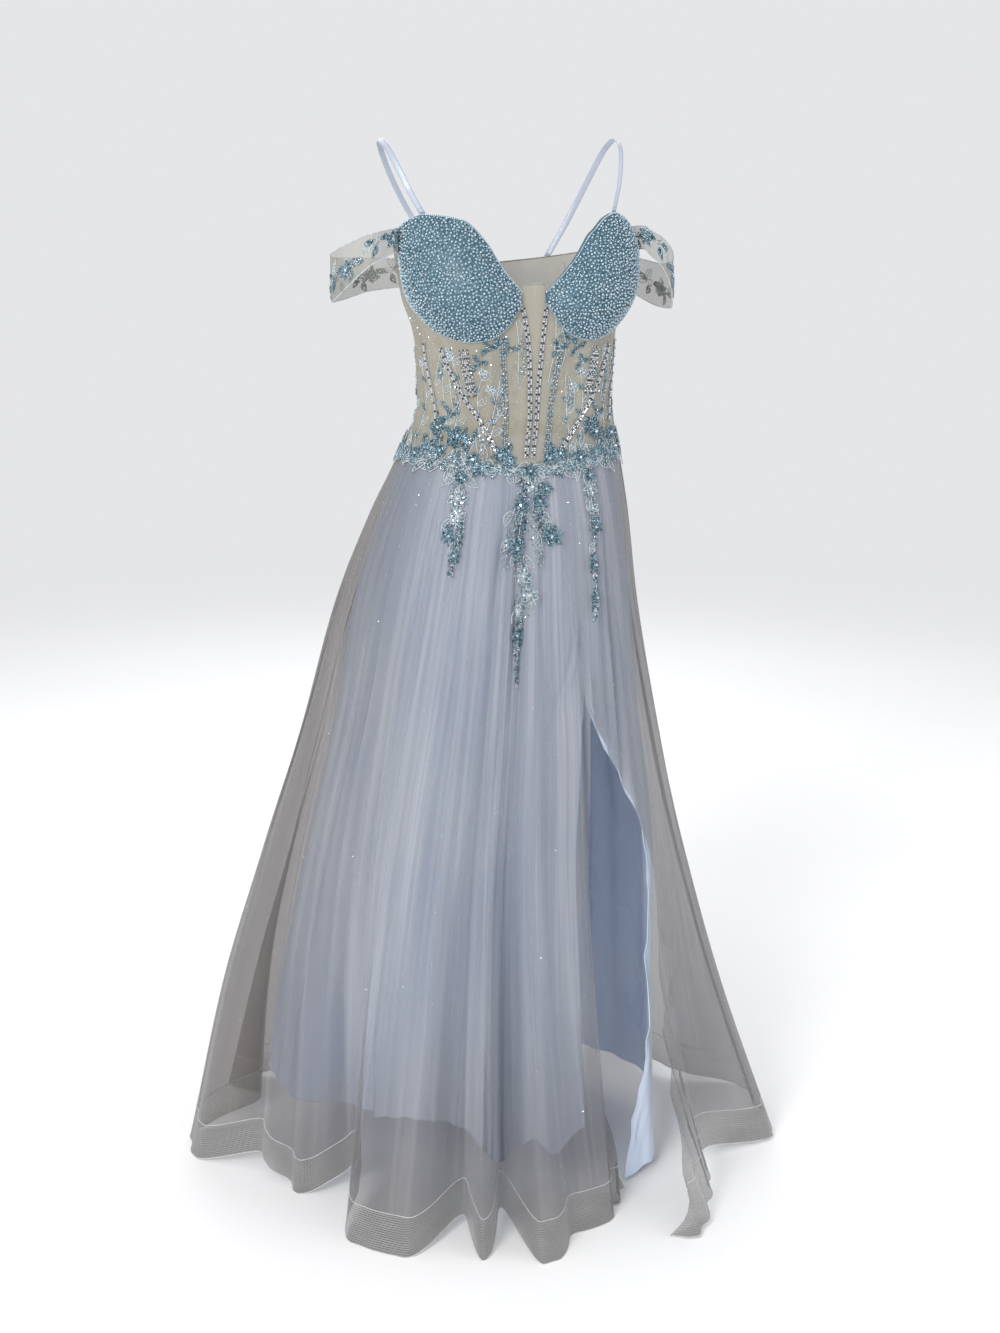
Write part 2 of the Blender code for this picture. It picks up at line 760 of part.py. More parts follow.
# The hanging sprays of lace: the route in turns and heights, and half the width there.
SPRAYS = {
    "spray_centre": (
        (0.0, -0.424, 10 * MM),
        (1.5, -0.450, 17 * MM),
        (2.0, -0.485, 19 * MM),
        (0.5, -0.520, 13 * MM),
        (-1.0, -0.555, 10 * MM),
        (-2.5, -0.590, 8 * MM),
        (-4.0, -0.630, 5 * MM),
        (-5.0, -0.672, 2 * MM),
    ),
    "spray_right": (
        (-42.0, -0.428, 13 * MM),
        (-41.5, -0.445, 14 * MM),
        (-40.5, -0.475, 12 * MM),
        (-40.0, -0.500, 9 * MM),
        (-39.0, -0.532, 3 * MM),
    ),
    "spray_left": (
        (37.5, -0.427, 11 * MM),
        (36.5, -0.450, 12 * MM),
        (34.5, -0.490, 9 * MM),
        (33.0, -0.540, 7 * MM),
        (32.0, -0.570, 5 * MM),
        (31.5, -0.598, 2.5 * MM),
    ),
}

SPRAY_LIFT = {"spray_centre": 1.8 * MM, "spray_right": MM, "spray_left": 1.2 * MM}


def build_lace(lace):
    """Beaded lace appliques over the waist seam and down the skirt."""

    def column(turn):
        upper = WAIST_LACE["upper"](abs(turn))
        seam = seam_height(turn)
        leaf = math.cos(math.radians(360 * turn / LACE_LEAF_TURN))
        lower = seam - WAIST_LACE["below"](abs(turn)) - LACE_SCALLOP * leaf
        return [(turn, height) for height in (lower, seam, upper)]

    stretches = {"waist_lace_front": (-79.5, 79.5, 32)}
    for name, side in SIDES:
        ends = sorted((side * 80.0, side * 176.0))
        stretches[f"waist_lace_{name}"] = (*ends, 18)
    for name, (start, end, cells) in stretches.items():
        places = [column(turn) for turn in between(start, end, cells)]
        lift = TRIM_LIFT if name.endswith("front") else BACK_LIFT
        trim(name, gown_radius, places, lift, TRIM_THICK, lace)
    for name, rows in SPRAYS.items():
        route = [(turn, height) for turn, height, _ in rows]
        half_widths = [half_width for *_, half_width in rows]
        places = strip_places(tulle_radius, route, half_widths)
        trim(name, tulle_radius, places, SPRAY_LIFT[name], TRIM_THICK, lace)


# The tape's rows, at those of the panels beside it.
ZIP_LEVELS = (
    *(-0.528, -0.470, -0.432, -0.408, -0.386, -0.363, -0.340, -0.317, -0.294),
    *(-0.271, -0.248, -0.226, -0.203, -0.180, ZIP_TOP),
)
SLIDER_HEIGHT = -0.168
SLIDER_SIZE = Vector((8 * MM, 2.2 * MM, 11 * MM))
SLIDER_CLEAR = 0.5 * MM
ARCH_WIDTH = 2 * MM
ARCH_BAR = 0.9 * MM
ARCH_HALF_LENGTH = 3.5 * MM
PULL_AXIS_OUT = 1.2 * MM  # from the slider's face to the pull's hinge axis
PULL_THICK = 1.2 * MM
PULL_EYE = 2 * MM  # half the width of the window that the arch stands in
# The pull's outline: the height from its hinge axis and half the width there.
PULL_ROWS = (
    (0.7 * MM, 2.8 * MM),
    (-0.7 * MM, 3.0 * MM),
    (-5.5 * MM, 3.0 * MM),
    (-18.0 * MM, 3.7 * MM),
    (-23.0 * MM, 3.4 * MM),
    (-26.0 * MM, 1.8 * MM),
)


def build_zip(tape, metal):
    """A zip in the back seam: its tape with the closed teeth's ridge, the slider and its pull."""
    ridge = ZIP_SLOT / 2 - SEAM_GAP
    half = ZIP_TAPE_WIDTH / 2
    flush = 0.2 * MM
    bm = bmesh.new()
    rings = []
    for height in ZIP_LEVELS:
        origin = surface_point(gown_radius, 180, height)
        out = surface_normal(gown_radius, 180, height)
        shallow, deep = ZIP_DEPTHS
        face = -shallow - (deep - shallow) * ease((WAIST_SEAM + 0.026 - height) / 0.026)
        base = face - MM
        left_half = ((half, base), (half, face), (ridge, face), (ridge, -flush))
        section = left_half + tuple((-x, depth) for x, depth in reversed(left_half))
        points = [origin + Vector((x, 0, 0)) + out * depth for x, depth in section]
        rings.append([bm.verts.new(p) for p in points])
    for lower, upper in zip(rings, rings[1:]):
        for i in range(len(section)):
            k = (i + 1) % len(section)
            bm.faces.new((lower[i], lower[k], upper[k], upper[i]))
    bm.faces.new(rings[0])
    bm.faces.new(rings[-1])
    bmesh.ops.recalc_face_normals(bm, faces=bm.faces)
    mesh = bpy.data.meshes.new("zip_tape")
    bm.to_mesh(mesh)
    bm.free()
    add_object("zip_tape", mesh, tape)

    seat = surface_point(bodice_radius, 180, SLIDER_HEIGHT)
    middle = seat + Vector((0, SLIDER_CLEAR + SLIDER_SIZE.y / 2, 0))
    face_at = middle.y + SLIDER_SIZE.y / 2
    bm = bmesh.new()
    bmesh.ops.create_cube(bm, size=1.0, matrix=Matrix.Diagonal((*SLIDER_SIZE, 1.0)))
    mesh = bpy.data.meshes.new("zip_slider")
    bm.to_mesh(mesh)
    bm.free()
    slider = add_object("zip_slider", mesh, metal)
    slider.location = middle
    arch = add_object("zip_arch_shape", arch_mesh(), metal)
    arch.location = Vector((middle.x, face_at, middle.z))
    arch.hide_render = True
    arch.display_type = "WIRE"
    join = slider.modifiers.new("arch", "BOOLEAN")
    join.operation = "UNION"
    join.object = arch

    pull = add_object("zip_pull", pull_mesh(), metal)
    pull.location = Vector((middle.x, face_at + PULL_AXIS_OUT, middle.z))


def arch_mesh():
    """The slider's bridge, which the pull hangs on. Its feet reach into the slider's body."""
    high = 2 * PULL_AXIS_OUT
    foot = -0.6 * MM
    inner = ARCH_HALF_LENGTH - ARCH_BAR
    outline = (
        (-ARCH_HALF_LENGTH, foot),
        (-ARCH_HALF_LENGTH, high),
        (-inner, high + ARCH_BAR),
        (inner, high + ARCH_BAR),
        (ARCH_HALF_LENGTH, high),
        (ARCH_HALF_LENGTH, foot),
        (inner, foot),
        (inner, high),
        (-inner, high),
        (-inner, foot),
    )
    bm = bmesh.new()
    near = [bm.verts.new((-ARCH_WIDTH / 2, out, along)) for along, out in outline]
    side = bm.faces.new(near)
    grown = bmesh.ops.extrude_face_region(bm, geom=[side])["geom"]
    moved = [part for part in grown if isinstance(part, bmesh.types.BMVert)]
    bmesh.ops.translate(bm, vec=(ARCH_WIDTH, 0, 0), verts=moved)
    bmesh.ops.recalc_face_normals(bm, faces=bm.faces)
    mesh = bpy.data.meshes.new("zip_arch_shape")
    bm.to_mesh(mesh)
    bm.free()
    return mesh


def pull_mesh():
    """A flat tab with a window near its top, around its own hinge axis."""
    bm = bmesh.new()
    back = []
    for height, half_width in PULL_ROWS:
        across = (-half_width, -PULL_EYE, PULL_EYE, half_width)
        if half_width <= PULL_EYE:
            across = (-half_width, -half_width / 2, half_width / 2, half_width)
        back.append([bm.verts.new((x, -PULL_THICK / 2, height)) for x in across])
    faces = []
    for row, (upper, lower) in enumerate(zip(back, back[1:])):
        for i in range(3):
            if row == 1 and i == 1:
                continue
            faces.append(bm.faces.new((upper[i], lower[i], lower[i + 1], upper[i + 1])))
    grown = bmesh.ops.extrude_face_region(bm, geom=faces)["geom"]
    moved = [part for part in grown if isinstance(part, bmesh.types.BMVert)]
    bmesh.ops.translate(bm, vec=(0, PULL_THICK, 0), verts=moved)
    bmesh.ops.recalc_face_normals(bm, faces=bm.faces)
    mesh = bpy.data.meshes.new("zip_pull")
    bm.to_mesh(mesh)
    bm.free()
    return mesh


def main():
    for old in list(bpy.data.objects):
        bpy.data.objects.remove(old)
    bodice_mesh = cloth_material("corset_mesh", (0.52, 0.50, 0.45), 0.8)
    tulle = cloth_material("tulle", (0.33, 0.33, 0.36), 0.85)
    braid = cloth_material("hem_braid", (0.25, 0.24, 0.22), 0.6)
    satin = cloth_material("satin", (0.36, 0.44, 0.62), 0.35)
    beaded = cloth_material("beaded_cloth", (0.17, 0.30, 0.38), 0.35)
    lace = cloth_material("beaded_lace", (0.20, 0.36, 0.45), 0.5)
    crystal = cloth_material("crystal_trim", (0.72, 0.74, 0.78), 0.15, 0.6)
    tape = cloth_material("zip_tape", (0.40, 0.44, 0.54), 0.8)
    metal = cloth_material("zip_metal", (0.62, 0.64, 0.68), 0.25, 1.0)
    build_bodice(bodice_mesh)
    build_cups(beaded)
    build_bones(crystal)
    build_sleeves(bodice_mesh)
    build_straps(satin)
    build_skirt(tulle, braid, satin)
    build_lace(lace)
    build_zip(tape, metal)


main()
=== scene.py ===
import math
from itertools import product

import bmesh
import bpy
import numpy as np
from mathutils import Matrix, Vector


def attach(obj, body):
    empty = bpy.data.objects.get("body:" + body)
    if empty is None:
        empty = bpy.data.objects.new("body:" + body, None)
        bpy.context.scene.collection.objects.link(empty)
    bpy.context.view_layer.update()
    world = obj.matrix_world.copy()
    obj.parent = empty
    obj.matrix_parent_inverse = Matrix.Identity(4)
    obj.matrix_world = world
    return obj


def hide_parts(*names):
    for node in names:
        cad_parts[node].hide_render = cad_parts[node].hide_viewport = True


# Looks of the gown: fine cloth on the solids' surfaces, with its beads, stones, cords and zip.
# Metres, +Z up. Most places are a turn in degrees, 0 at the front centre and 90 at the wearer's
# left side, and a height.

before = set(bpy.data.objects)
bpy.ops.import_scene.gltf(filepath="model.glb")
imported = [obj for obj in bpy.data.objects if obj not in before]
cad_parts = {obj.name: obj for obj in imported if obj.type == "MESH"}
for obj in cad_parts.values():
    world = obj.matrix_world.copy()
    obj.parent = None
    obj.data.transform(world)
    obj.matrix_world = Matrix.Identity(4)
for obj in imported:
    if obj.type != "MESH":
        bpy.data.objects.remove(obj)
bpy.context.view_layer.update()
rng = np.random.default_rng(11)

MM = 0.001
UP = np.array((0.0, 0.0, 1.0))

# The solids' own sizes.
FLOOR = -1.390
STRAP_SPREAD = 0.153
WAIST_SEAM = -0.386
WAIST_DIP = 0.011
CLOTH = 1.5 * MM
PADDING = 3.0 * MM
WAIST_GAP = 0.7 * MM
LINING_DROP = 1.0 * MM
CUP_SEAM = 0.8 * MM
LAYER_GAP = 9.0 * MM
BRAID_WIDTH = 50 * MM
CUP_RISE = 34 * MM
STRAP_WIDTH = 8 * MM
SIDE_SEAM = 80.0
SKIRT_SIDE_SEAM = 96.0
BACK_DART = 128.0
CUP_INNER = 7.9
CUP_OUTER = SIDE_SEAM - 0.2
SLIT_TOP = -0.705
FOLD_CLEARANCE = (-5.0, -2.5, 2.5, 5.0)
FOLD_GROWTH = 2.1
ZIP_TOP = -0.160
ZIP_END = -0.530
ZIP_SLOT = 3.6 * MM
ZIP_SEWN_TURN = 22.0
ZIP_SEWN_GAP = 1.2 * MM
ZIP_DEPTHS = (2.2 * MM, 6.1 * MM)
ZIP_TAPE_WIDTH = 18 * MM
PLUNGE_TOP = -0.172
SIDES = (("right", -1), ("left", 1))

# Finer sizes that only the looks have.
GATHER_COUNTS = (118, 71)  # small gathers round the waist, two sets over each other
MIDDLE_FOLD_COUNT = 37
WIDE_FOLD_COUNT = 19
GATHER_DEPTH = 2.6 * MM
SOFT_FOLD_DEPTH = 14.0 * MM
LINING_FOLD_DEPTH = 5.0 * MM
LINING_ROOM = (0.8 * MM, 2 * MM)  # inside the tulle at the waist, and as much more below it
NET_CREASE_DEPTH = 0.35 * MM
ZIP_CLOSING = 12 * MM  # how far below the zip its seam is closed
PEARL_GAP = 3.9 * MM
PEARL_RADIUS = 1.6 * MM
EDGE_PEARL_GAP = 2.7 * MM
EDGE_PEARL_RADIUS = 1.3 * MM
SEED_RADIUS = 0.85 * MM
STONE_GAP = 2.7 * MM
CORD_RADIUS = 0.50 * MM
VEIN_RADIUS = 0.7 * CORD_RADIUS
SEAM_RADIUS = 0.9 * MM

# Columns of a sheet for a degree of turn, and its rows.
TULLE_GRID = (2.3, 72)
LINING_GRID = (1.4, 54)
BRAID_GRID = (2.3, 5)
CUP_GRID = (50, 30)  # columns and rows of a whole cup
NET_ROWS = 40
# Metres of cloth for a degree of turn, for the materials' coordinates.
SKIRT_GIRTH = 0.0050
BODICE_GIRTH = 0.0023


class Curve:
    """A smooth line through pairs of place and value, level at every crest and valley."""

    def __init__(self, pairs):
        pairs = sorted(pairs)
        self.places = np.array([pair[0] for pair in pairs], float)
        self.values = np.array([pair[1] for pair in pairs], float)
        slopes = np.diff(self.values) / np.diff(self.places)
        before, after = slopes[:-1], slopes[1:]
        same_way = before * after > 0
        total = np.where(same_way, before + after, 1.0)
        middle = np.where(same_way, 2 * before * after / total, 0.0)
        self.tangents = np.concatenate((slopes[:1], middle, slopes[-1:]))

    def __call__(self, place):
        place = np.clip(place, self.places[0], self.places[-1])
        index = np.clip(np.searchsorted(self.places, place) - 1, 0, len(self.places) - 2)
        x0, y0 = self.places[index], self.values[index]
        y1 = self.values[index + 1]
        width = self.places[index + 1] - x0
        t = (place - x0) / width
        leave = width * self.tangents[index] * t * (1 - t) ** 2
        arrive = width * self.tangents[index + 1] * t * t * (t - 1)
        return y0 + (y1 - y0) * t * t * (3 - 2 * t) + leave + arrive


def curves(names, rows):
    """One Curve for each named column but the first, which is the place."""
    names = names.split()[1:]
    return {name: Curve([(row[0], row[i + 1]) for row in rows]) for i, name in enumerate(names)}


def all_round(names, rows):
    """The same for a table of turns, repeated so that it closes."""
    turned = [(row[0] + lap, *row[1:]) for lap in (-360, 0, 360) for row in rows]
    return curves(names, turned)


# The gown's outer cross sections: the centre and the reach from it to each side.
GOWN = curves(
    "height centre_x centre_y right left front back",
    (
        (-0.085, 0.012, 0.010, 0.158, 0.158, 0.098, 0.084),
        (-0.130, 0.016, 0.008, 0.153, 0.153, 0.105, 0.088),
        (-0.190, 0.018, 0.005, 0.146, 0.146, 0.107, 0.090),
        (-0.250, 0.020, 0.003, 0.131, 0.131, 0.104, 0.089),
        (-0.327, 0.020, 0.002, 0.129, 0.129, 0.095, 0.087),
        (-0.400, 0.012, 0.005, 0.149, 0.150, 0.107, 0.100),
        (-0.470, 0.010, 0.010, 0.180, 0.165, 0.125, 0.127),
        (-0.600, 0.005, 0.020, 0.225, 0.188, 0.150, 0.170),
        (-0.750, -0.005, 0.025, 0.255, 0.223, 0.180, 0.215),
        (-0.950, -0.018, 0.030, 0.303, 0.270, 0.215, 0.260),
        (-1.150, -0.025, 0.030, 0.350, 0.318, 0.252, 0.310),
        (FLOOR, -0.030, 0.030, 0.385, 0.385, 0.310, 0.370),
    ),
)
LINING = curves(
    "height right left front back",
    (
        (-0.400, 0.147, 0.148, 0.105, 0.098),
        (-0.470, 0.168, 0.156, 0.119, 0.119),
        (-0.600, 0.198, 0.178, 0.141, 0.155),
        (-0.750, 0.211, 0.203, 0.162, 0.185),
        (-0.950, 0.240, 0.243, 0.195, 0.210),
        (-1.150, 0.270, 0.252, 0.225, 0.235),
        (FLOOR, 0.292, 0.262, 0.252, 0.255),
    ),
)
# A row for each crest and valley of the tulle's hem.
TULLE_FOLDS = all_round(
    "turn reach lift",
    (
        (40, 0.263, 0.010), (24, 0.300, 0.000), (11, 0.318, 0.000), (1, 0.369, 0.000),
        (-5, 0.252, 0.022), (-11, 0.347, 0.000), (-17, 0.262, 0.018), (-29, 0.342, 0.000),
        (-42, 0.337, 0.000), (-57, 0.228, 0.046), (-69, 0.300, 0.000), (-84, 0.322, 0.030),
        (-95, 0.405, 0.000), (-104, 0.416, 0.000), (-117, 0.330, 0.024), (-129, 0.415, 0.000),
        (-142, 0.325, 0.018), (-154, 0.422, 0.000), (-167, 0.340, 0.024), (-179, 0.418, 0.000),
        (168, 0.345, 0.020), (154, 0.430, 0.000), (141, 0.340, 0.026), (128, 0.428, 0.000),
        (113, 0.345, 0.020), (95, 0.442, 0.000), (75, 0.432, 0.004), (58, 0.330, 0.026),
    ),
)
SWING = curves(
    "turn out",
    (
        (28, 0.095), (34.5, 0.144), (43, 0.125), (51, 0.070), (60, -0.002), (67, -0.036),
        (75, 0.000), (97, 0.000),
    ),
)
LINING_FOLDS = all_round(
    "turn out hem",
    (
        (34, 0.000, -1.300), (23, 0.006, -1.276), (13, -0.006, -1.306), (4, 0.012, -1.272),
        (-6, -0.012, -1.308), (-16, 0.010, -1.262), (-32, 0.016, -1.238), (-55, -0.030, -1.262),
        (-78, 0.010, -1.262), (-100, 0.022, -1.246), (-128, -0.014, -1.300),
        (-155, 0.020, -1.322), (180, -0.012, -1.336), (155, 0.020, -1.338), (128, -0.014, -1.334),
        (102, 0.014, -1.342), (78, -0.008, -1.352), (56, 0.010, -1.372), (43, 0.034, -1.384),
    ),
)
SLIT_SEAM = curves("height turn", ((-0.385, 39.0), (-0.550, 34.0), (SLIT_TOP, 31.5)))
SLIT = curves(
    "height tulle_front tulle_left lining_front lining_left",
    (
        (SLIT_TOP, 31.5, 31.5, 31.5, 31.5),
        (-0.750, 31.2, 37.0, 29.5, 39.0),
        (-0.820, 31.0, 47.0, 27.8, 51.0),
        (-0.890, 30.8, 55.0, 25.5, 60.0),
        (-0.965, 30.2, 58.5, 24.4, 67.0),
        (-1.050, 29.2, 56.0, 24.0, 66.0),
        (-1.175, 28.5, 47.5, 23.2, 60.0),
        (-1.300, 31.5, 37.0, 23.5, 49.0),
        (FLOOR, 38.0, 29.0, 24.0, 42.0),
    ),
)
BONES = curves(
    "height centre slant short side",
    (
        (-0.190, 7.4, 73.0, 48.5, 78.0),
        (-0.250, 3.5, 63.0, 47.5, 76.5),
        (-0.310, 1.8, 50.0, 44.0, 71.0),
        (-0.350, 1.4, 35.0, 42.0, 67.0),
        (-0.400, 1.2, 14.0, 41.0, 62.0),
    ),
)
CUP = curves(
    "turn low high",
    (
        (CUP_INNER, -0.195, -0.182),
        (20, -0.228, -0.152),
        (30, -0.240, -0.118),
        (43, -0.244, -0.094),
        (62, -0.234, -0.088),
        (CUP_OUTER, -0.200, -0.106),
    ),
)
LEFT_CUP_DROP = Curve(
    (
        (CUP_INNER, 0.000), (20, 0.008), (30, 0.022), (43, 0.016), (54, 0.004), (62, 0.000),
        (CUP_OUTER, 0.000),
    ),
)
BACK_TOP = curves(
    "turn height",
    ((SIDE_SEAM, -0.106), (87, -0.112), (100, -0.132), (140, -0.150), (180, -0.157)),
)


# --- Surfaces ---


def unit(vectors):
    return vectors / np.linalg.norm(vectors, axis=-1, keepdims=True)


def ease(share):
    """0 to 1, level at both ends."""
    share = np.clip(share, 0.0, 1.0)
    return share * share * (3 - 2 * share)


def wrap(turn):
    return (turn + 180) % 360 - 180


def heading(turn):
    angle = np.radians(turn)
    return np.stack((np.sin(angle), -np.cos(angle), np.zeros_like(angle)), -1)


def oval(section, turn, height):
    angle = np.radians(turn)
    across = np.where(np.sin(angle) > 0, section["left"](height), section["right"](height))
    along = np.where(np.cos(angle) > 0, section["front"](height), section["back"](height))
    return 1 / np.hypot(np.sin(angle) / across, np.cos(angle) / along)


def seam_height(turn):
    return WAIST_SEAM - WAIST_DIP * np.maximum(0.0, np.cos(np.radians(turn))) ** 2


def way_down(turn, height):
    """0 at the waist seam and 1 at the floor."""
    top = seam_height(turn)
    return np.clip((top - height) / (top - FLOOR), 0.0, 1.0)


def bodice_radius(turn, height):
    return oval(GOWN, turn, height)


def tulle_radius(turn, height):
    depth = way_down(turn, height) ** FOLD_GROWTH
    fold = TULLE_FOLDS["reach"](turn) - oval(GOWN, turn, FLOOR + 0 * height)
    return oval(GOWN, turn, height) + fold * depth


def lining_radius(turn, height):
    down = way_down(turn, height)
    free = oval(LINING, turn, height) + LINING_FOLDS["out"](turn) * down**FOLD_GROWTH
    at_waist = CLOTH + WAIST_GAP
    gap = at_waist + (LAYER_GAP - at_waist) * np.minimum(down / 0.15, 1.0)
    outer = tulle_radius(turn, height)
    beside = [tulle_radius(turn + way * down, height) for way in FOLD_CLEARANCE]
    loose = np.minimum(np.minimum(free, outer - gap), np.min(beside, axis=0) - gap)
    at_zip = ease(1.5 - 1.5 * (180 - np.abs(wrap(turn))) / ZIP_SEWN_TURN)
    at_zip = at_zip * ease((height - ZIP_END) / 0.06 + 1)
    sewn = outer - at_waist - ZIP_SEWN_GAP * ease(down / 0.04)
    return loose + (sewn - loose) * at_zip


def gown_radius(turn, height):
    return np.where(
        height > seam_height(turn), bodice_radius(turn, height), tulle_radius(turn, height)
    )


def cup_low(turn):
    return CUP["low"](np.abs(wrap(turn)))


def cup_top(turn):
    place = np.abs(wrap(turn))
    return CUP["high"](place) - np.where(wrap(turn) > 0, LEFT_CUP_DROP(place), 0.0)


def cup_radius(turn, height):
    place = np.abs(wrap(turn))
    low, high = cup_low(turn), cup_top(turn)
    up = np.clip((height - low) / (high - low), 0.0, 1.0)
    across = np.clip((place - CUP_INNER) / (CUP_OUTER - CUP_INNER), 0.0, 1.0)
    dome = (4 * up * (1 - up)) ** 0.72 * np.sin(np.pi * across) ** 0.62
    return bodice_radius(turn, height) + CUP_RISE * dome


def gathers(turn, height):
    """How far the tulle dips in its small folds: close gathers at the waist, and wider, softer
    folds down the skirt, uneven in spacing and depth."""
    down = way_down(turn, height)
    angle = np.radians(turn)
    drift = 1.6 * np.sin(5 * angle + 0.7) + 1.1 * np.sin(13 * angle + 2.0)
    sway = 0.8 * np.sin(3 * angle + 5 * down) * down

    def dips(count, phase, sharpness):
        return (0.5 - 0.5 * np.cos(count * angle + phase)) ** sharpness

    first, second = GATHER_COUNTS
    close = 0.6 * dips(first, 2 * drift, 1.0) + 0.4 * dips(second, 1.0 - 3 * drift, 1.0)
    close = close * (0.6 + 0.4 * np.sin(9 * angle + 1.0))
    middle = dips(MIDDLE_FOLD_COUNT, 2.3 * drift + sway, 1.8)
    middle = middle * (0.5 + 0.5 * np.sin(7 * angle + 2.6))
    wide = dips(WIDE_FOLD_COUNT, 2 * sway + 1.0 - 1.7 * drift, 1.6)
    wide = wide * (0.6 + 0.4 * np.sin(4 * angle + 0.4))
    soft = 0.5 * middle * ease(down / 0.3 + 0.1) + wide * ease(down / 0.5 + 0.05)
    near_waist = ease(down / 0.02) * np.exp(-down / 0.16)
    return GATHER_DEPTH * close * near_waist + SOFT_FOLD_DEPTH * soft


# Creases in the skirt: turn, height of the middle, length, lean to one side at the top, half
# width and depth in millimetres.
CREASES = (
    (24.0, -0.672, 110, 46, 6.0, 4.0), (19.5, -0.690, 90, 60, 5.0, 3.4),
    (27.0, -0.640, 100, 20, 6.0, 3.6), (15.0, -0.735, 120, 50, 7.0, 3.4),
    (34.0, -0.668, 80, -30, 5.0, 3.0), (8.0, -0.560, 170, 10, 8.0, 4.4),
    (-5.0, -0.620, 200, -12, 9.0, 4.6), (-17.0, -0.540, 150, 14, 7.0, 4.0),
    (-27.0, -0.600, 210, -16, 9.0, 5.0), (-38.0, -0.700, 230, 12, 9.0, 4.6),
    (-52.0, -0.590, 180, -20, 8.0, 4.2), (-66.0, -0.680, 220, 18, 9.0, 4.8),
    (-12.0, -0.830, 260, 8, 9.0, 5.0), (4.0, -0.960, 240, -10, 8.0, 4.4),
    (-33.0, -0.930, 280, 20, 9.0, 5.0), (52.0, -0.560, 160, 12, 7.0, 4.0),
    (63.0, -0.690, 210, -14, 8.0, 4.4), (82.0, -0.600, 190, 16, 8.0, 4.4),
    (104.0, -0.700, 240, -12, 9.0, 4.8), (126.0, -0.570, 170, 10, 8.0, 4.0),
    (143.0, -0.760, 260, -16, 9.0, 5.0), (163.0, -0.640, 200, 12, 8.0, 4.4),
    (64.0, -1.000, 80, 30, 4.5, 6.0), (61.0, -1.060, 90, -35, 4.5, 6.5),
    (60.0, -1.130, 80, 40, 4.5, 6.0), (56.5, -1.190, 90, -30, 5.0, 6.5),
    (52.5, -1.250, 80, 35, 4.5, 6.0), (49.0, -1.310, 70, -25, 4.5, 5.0),
    (-94.0, -0.650, 210, -14, 9.0, 4.6), (-113.0, -0.580, 180, 14, 8.0, 4.2),
    (-131.0, -0.740, 250, -10, 9.0, 5.0), (-154.0, -0.610, 190, 12, 8.0, 4.2),
    (-170.0, -0.780, 240, -8, 8.0, 4.6),
)
CREASE_RADIUS = 0.22  # metres, about the skirt's radius where the creases lie


def creases(turn, height):
    """How far the cloth dips in its listed creases."""
    dip = 0.0 * (turn + height)
    for at, middle, length, lean, half, depth in CREASES:
        along = 2 * (height - middle) / (length * MM)
        aside = np.radians(wrap(turn - at)) * CREASE_RADIUS - 0.5 * lean * MM * along
        taper = np.clip(1 - along**2, 0.0, 1.0)
        dip = dip + depth * MM * taper * np.exp(-((aside / (half * MM)) ** 2))
    return dip


def tulle_cloth(turn, height):
    return tulle_radius(turn, height) - gathers(turn, height) - 0.6 * creases(turn, height)


def left_tulle_cloth(turn, height):
    below = np.clip((SLIT_TOP - height) / (SLIT_TOP - FLOOR), 0.0, 1.0)
    return tulle_cloth(turn, height) + SWING["out"](turn) * below**FOLD_GROWTH


def lining_cloth(turn, height):
    """The lining's surface with its own soft folds, always inside the tulle."""
    down = way_down(turn, height)
    angle = np.radians(turn)
    drift = 1.2 * np.sin(4 * angle + 1.2) + 0.7 * np.sin(9 * angle)
    fold = (0.5 - 0.5 * np.cos(MIDDLE_FOLD_COUNT * angle + 2 * drift + 2 * down)) ** 1.3
    inside = lining_radius(turn, height) - LINING_FOLD_DEPTH * fold * ease(down / 0.3)
    inside = inside - creases(turn, height)
    at_waist, below = LINING_ROOM
    return np.minimum(inside, tulle_cloth(turn, height) - at_waist - below * ease(down / 0.1))


def gown_cloth(turn, height):
    return np.where(
        height > seam_height(turn), bodice_radius(turn, height), tulle_cloth(turn, height)
    )


def net_cloth(turn, height):
    """The bodice's net, with faint slanting creases."""
    crease = np.sin(0.55 * turn + 130 * height) + np.sin(0.31 * turn - 190 * height + 1.0)
    return bodice_radius(turn, height) - NET_CREASE_DEPTH * (1 + 0.5 * crease)


def on_surface(radius, turn, height):
    turn, height = np.broadcast_arrays(np.asarray(turn, float), np.asarray(height, float))
    centre = np.stack((GOWN["centre_x"](height), GOWN["centre_y"](height), height), -1)
    return centre + heading(turn) * radius(turn, height)[..., None]


def outward(radius, turn, height):
    round_it = on_surface(radius, turn + 0.4, height) - on_surface(radius, turn - 0.4, height)
    up_it = on_surface(radius, turn, height + MM) - on_surface(radius, turn, height - MM)
    return unit(np.cross(round_it, up_it))


def lifted(radius, turn, height, lift):
    """Points on a surface moved out, and the outward directions there."""
    turn, height = np.broadcast_arrays(np.asarray(turn, float), np.asarray(height, float))
    out = outward(radius, turn, height)
    return on_surface(radius, turn, height) + out * lift, out


def panel_places(edges, outline, columns, rows):
    """A grid of turns and heights between two side seams and a lower and an upper outline."""
    first, last = edges
    bottom, top = outline
    across = np.linspace(0, 1, columns + 1)[:, None]
    up = np.linspace(0, 1, rows + 1)[None, :]
    height = bottom(first(-0.3)) * (1 - up) + top(first(-0.3)) * up + 0 * across
    for _ in range(14):
        turn = first(height) + (last(height) - first(height)) * across
        height = bottom(turn) * (1 - up) + top(turn) * up
    return turn, height


def fixed(turn):
    return lambda height: turn + 0 * height


def mirrored(side, column):
    return lambda height: side * BONES[column](height)


def ordered(side, inner, outer):
    return (inner, outer) if side > 0 else (outer, inner)


# --- Meshes ---


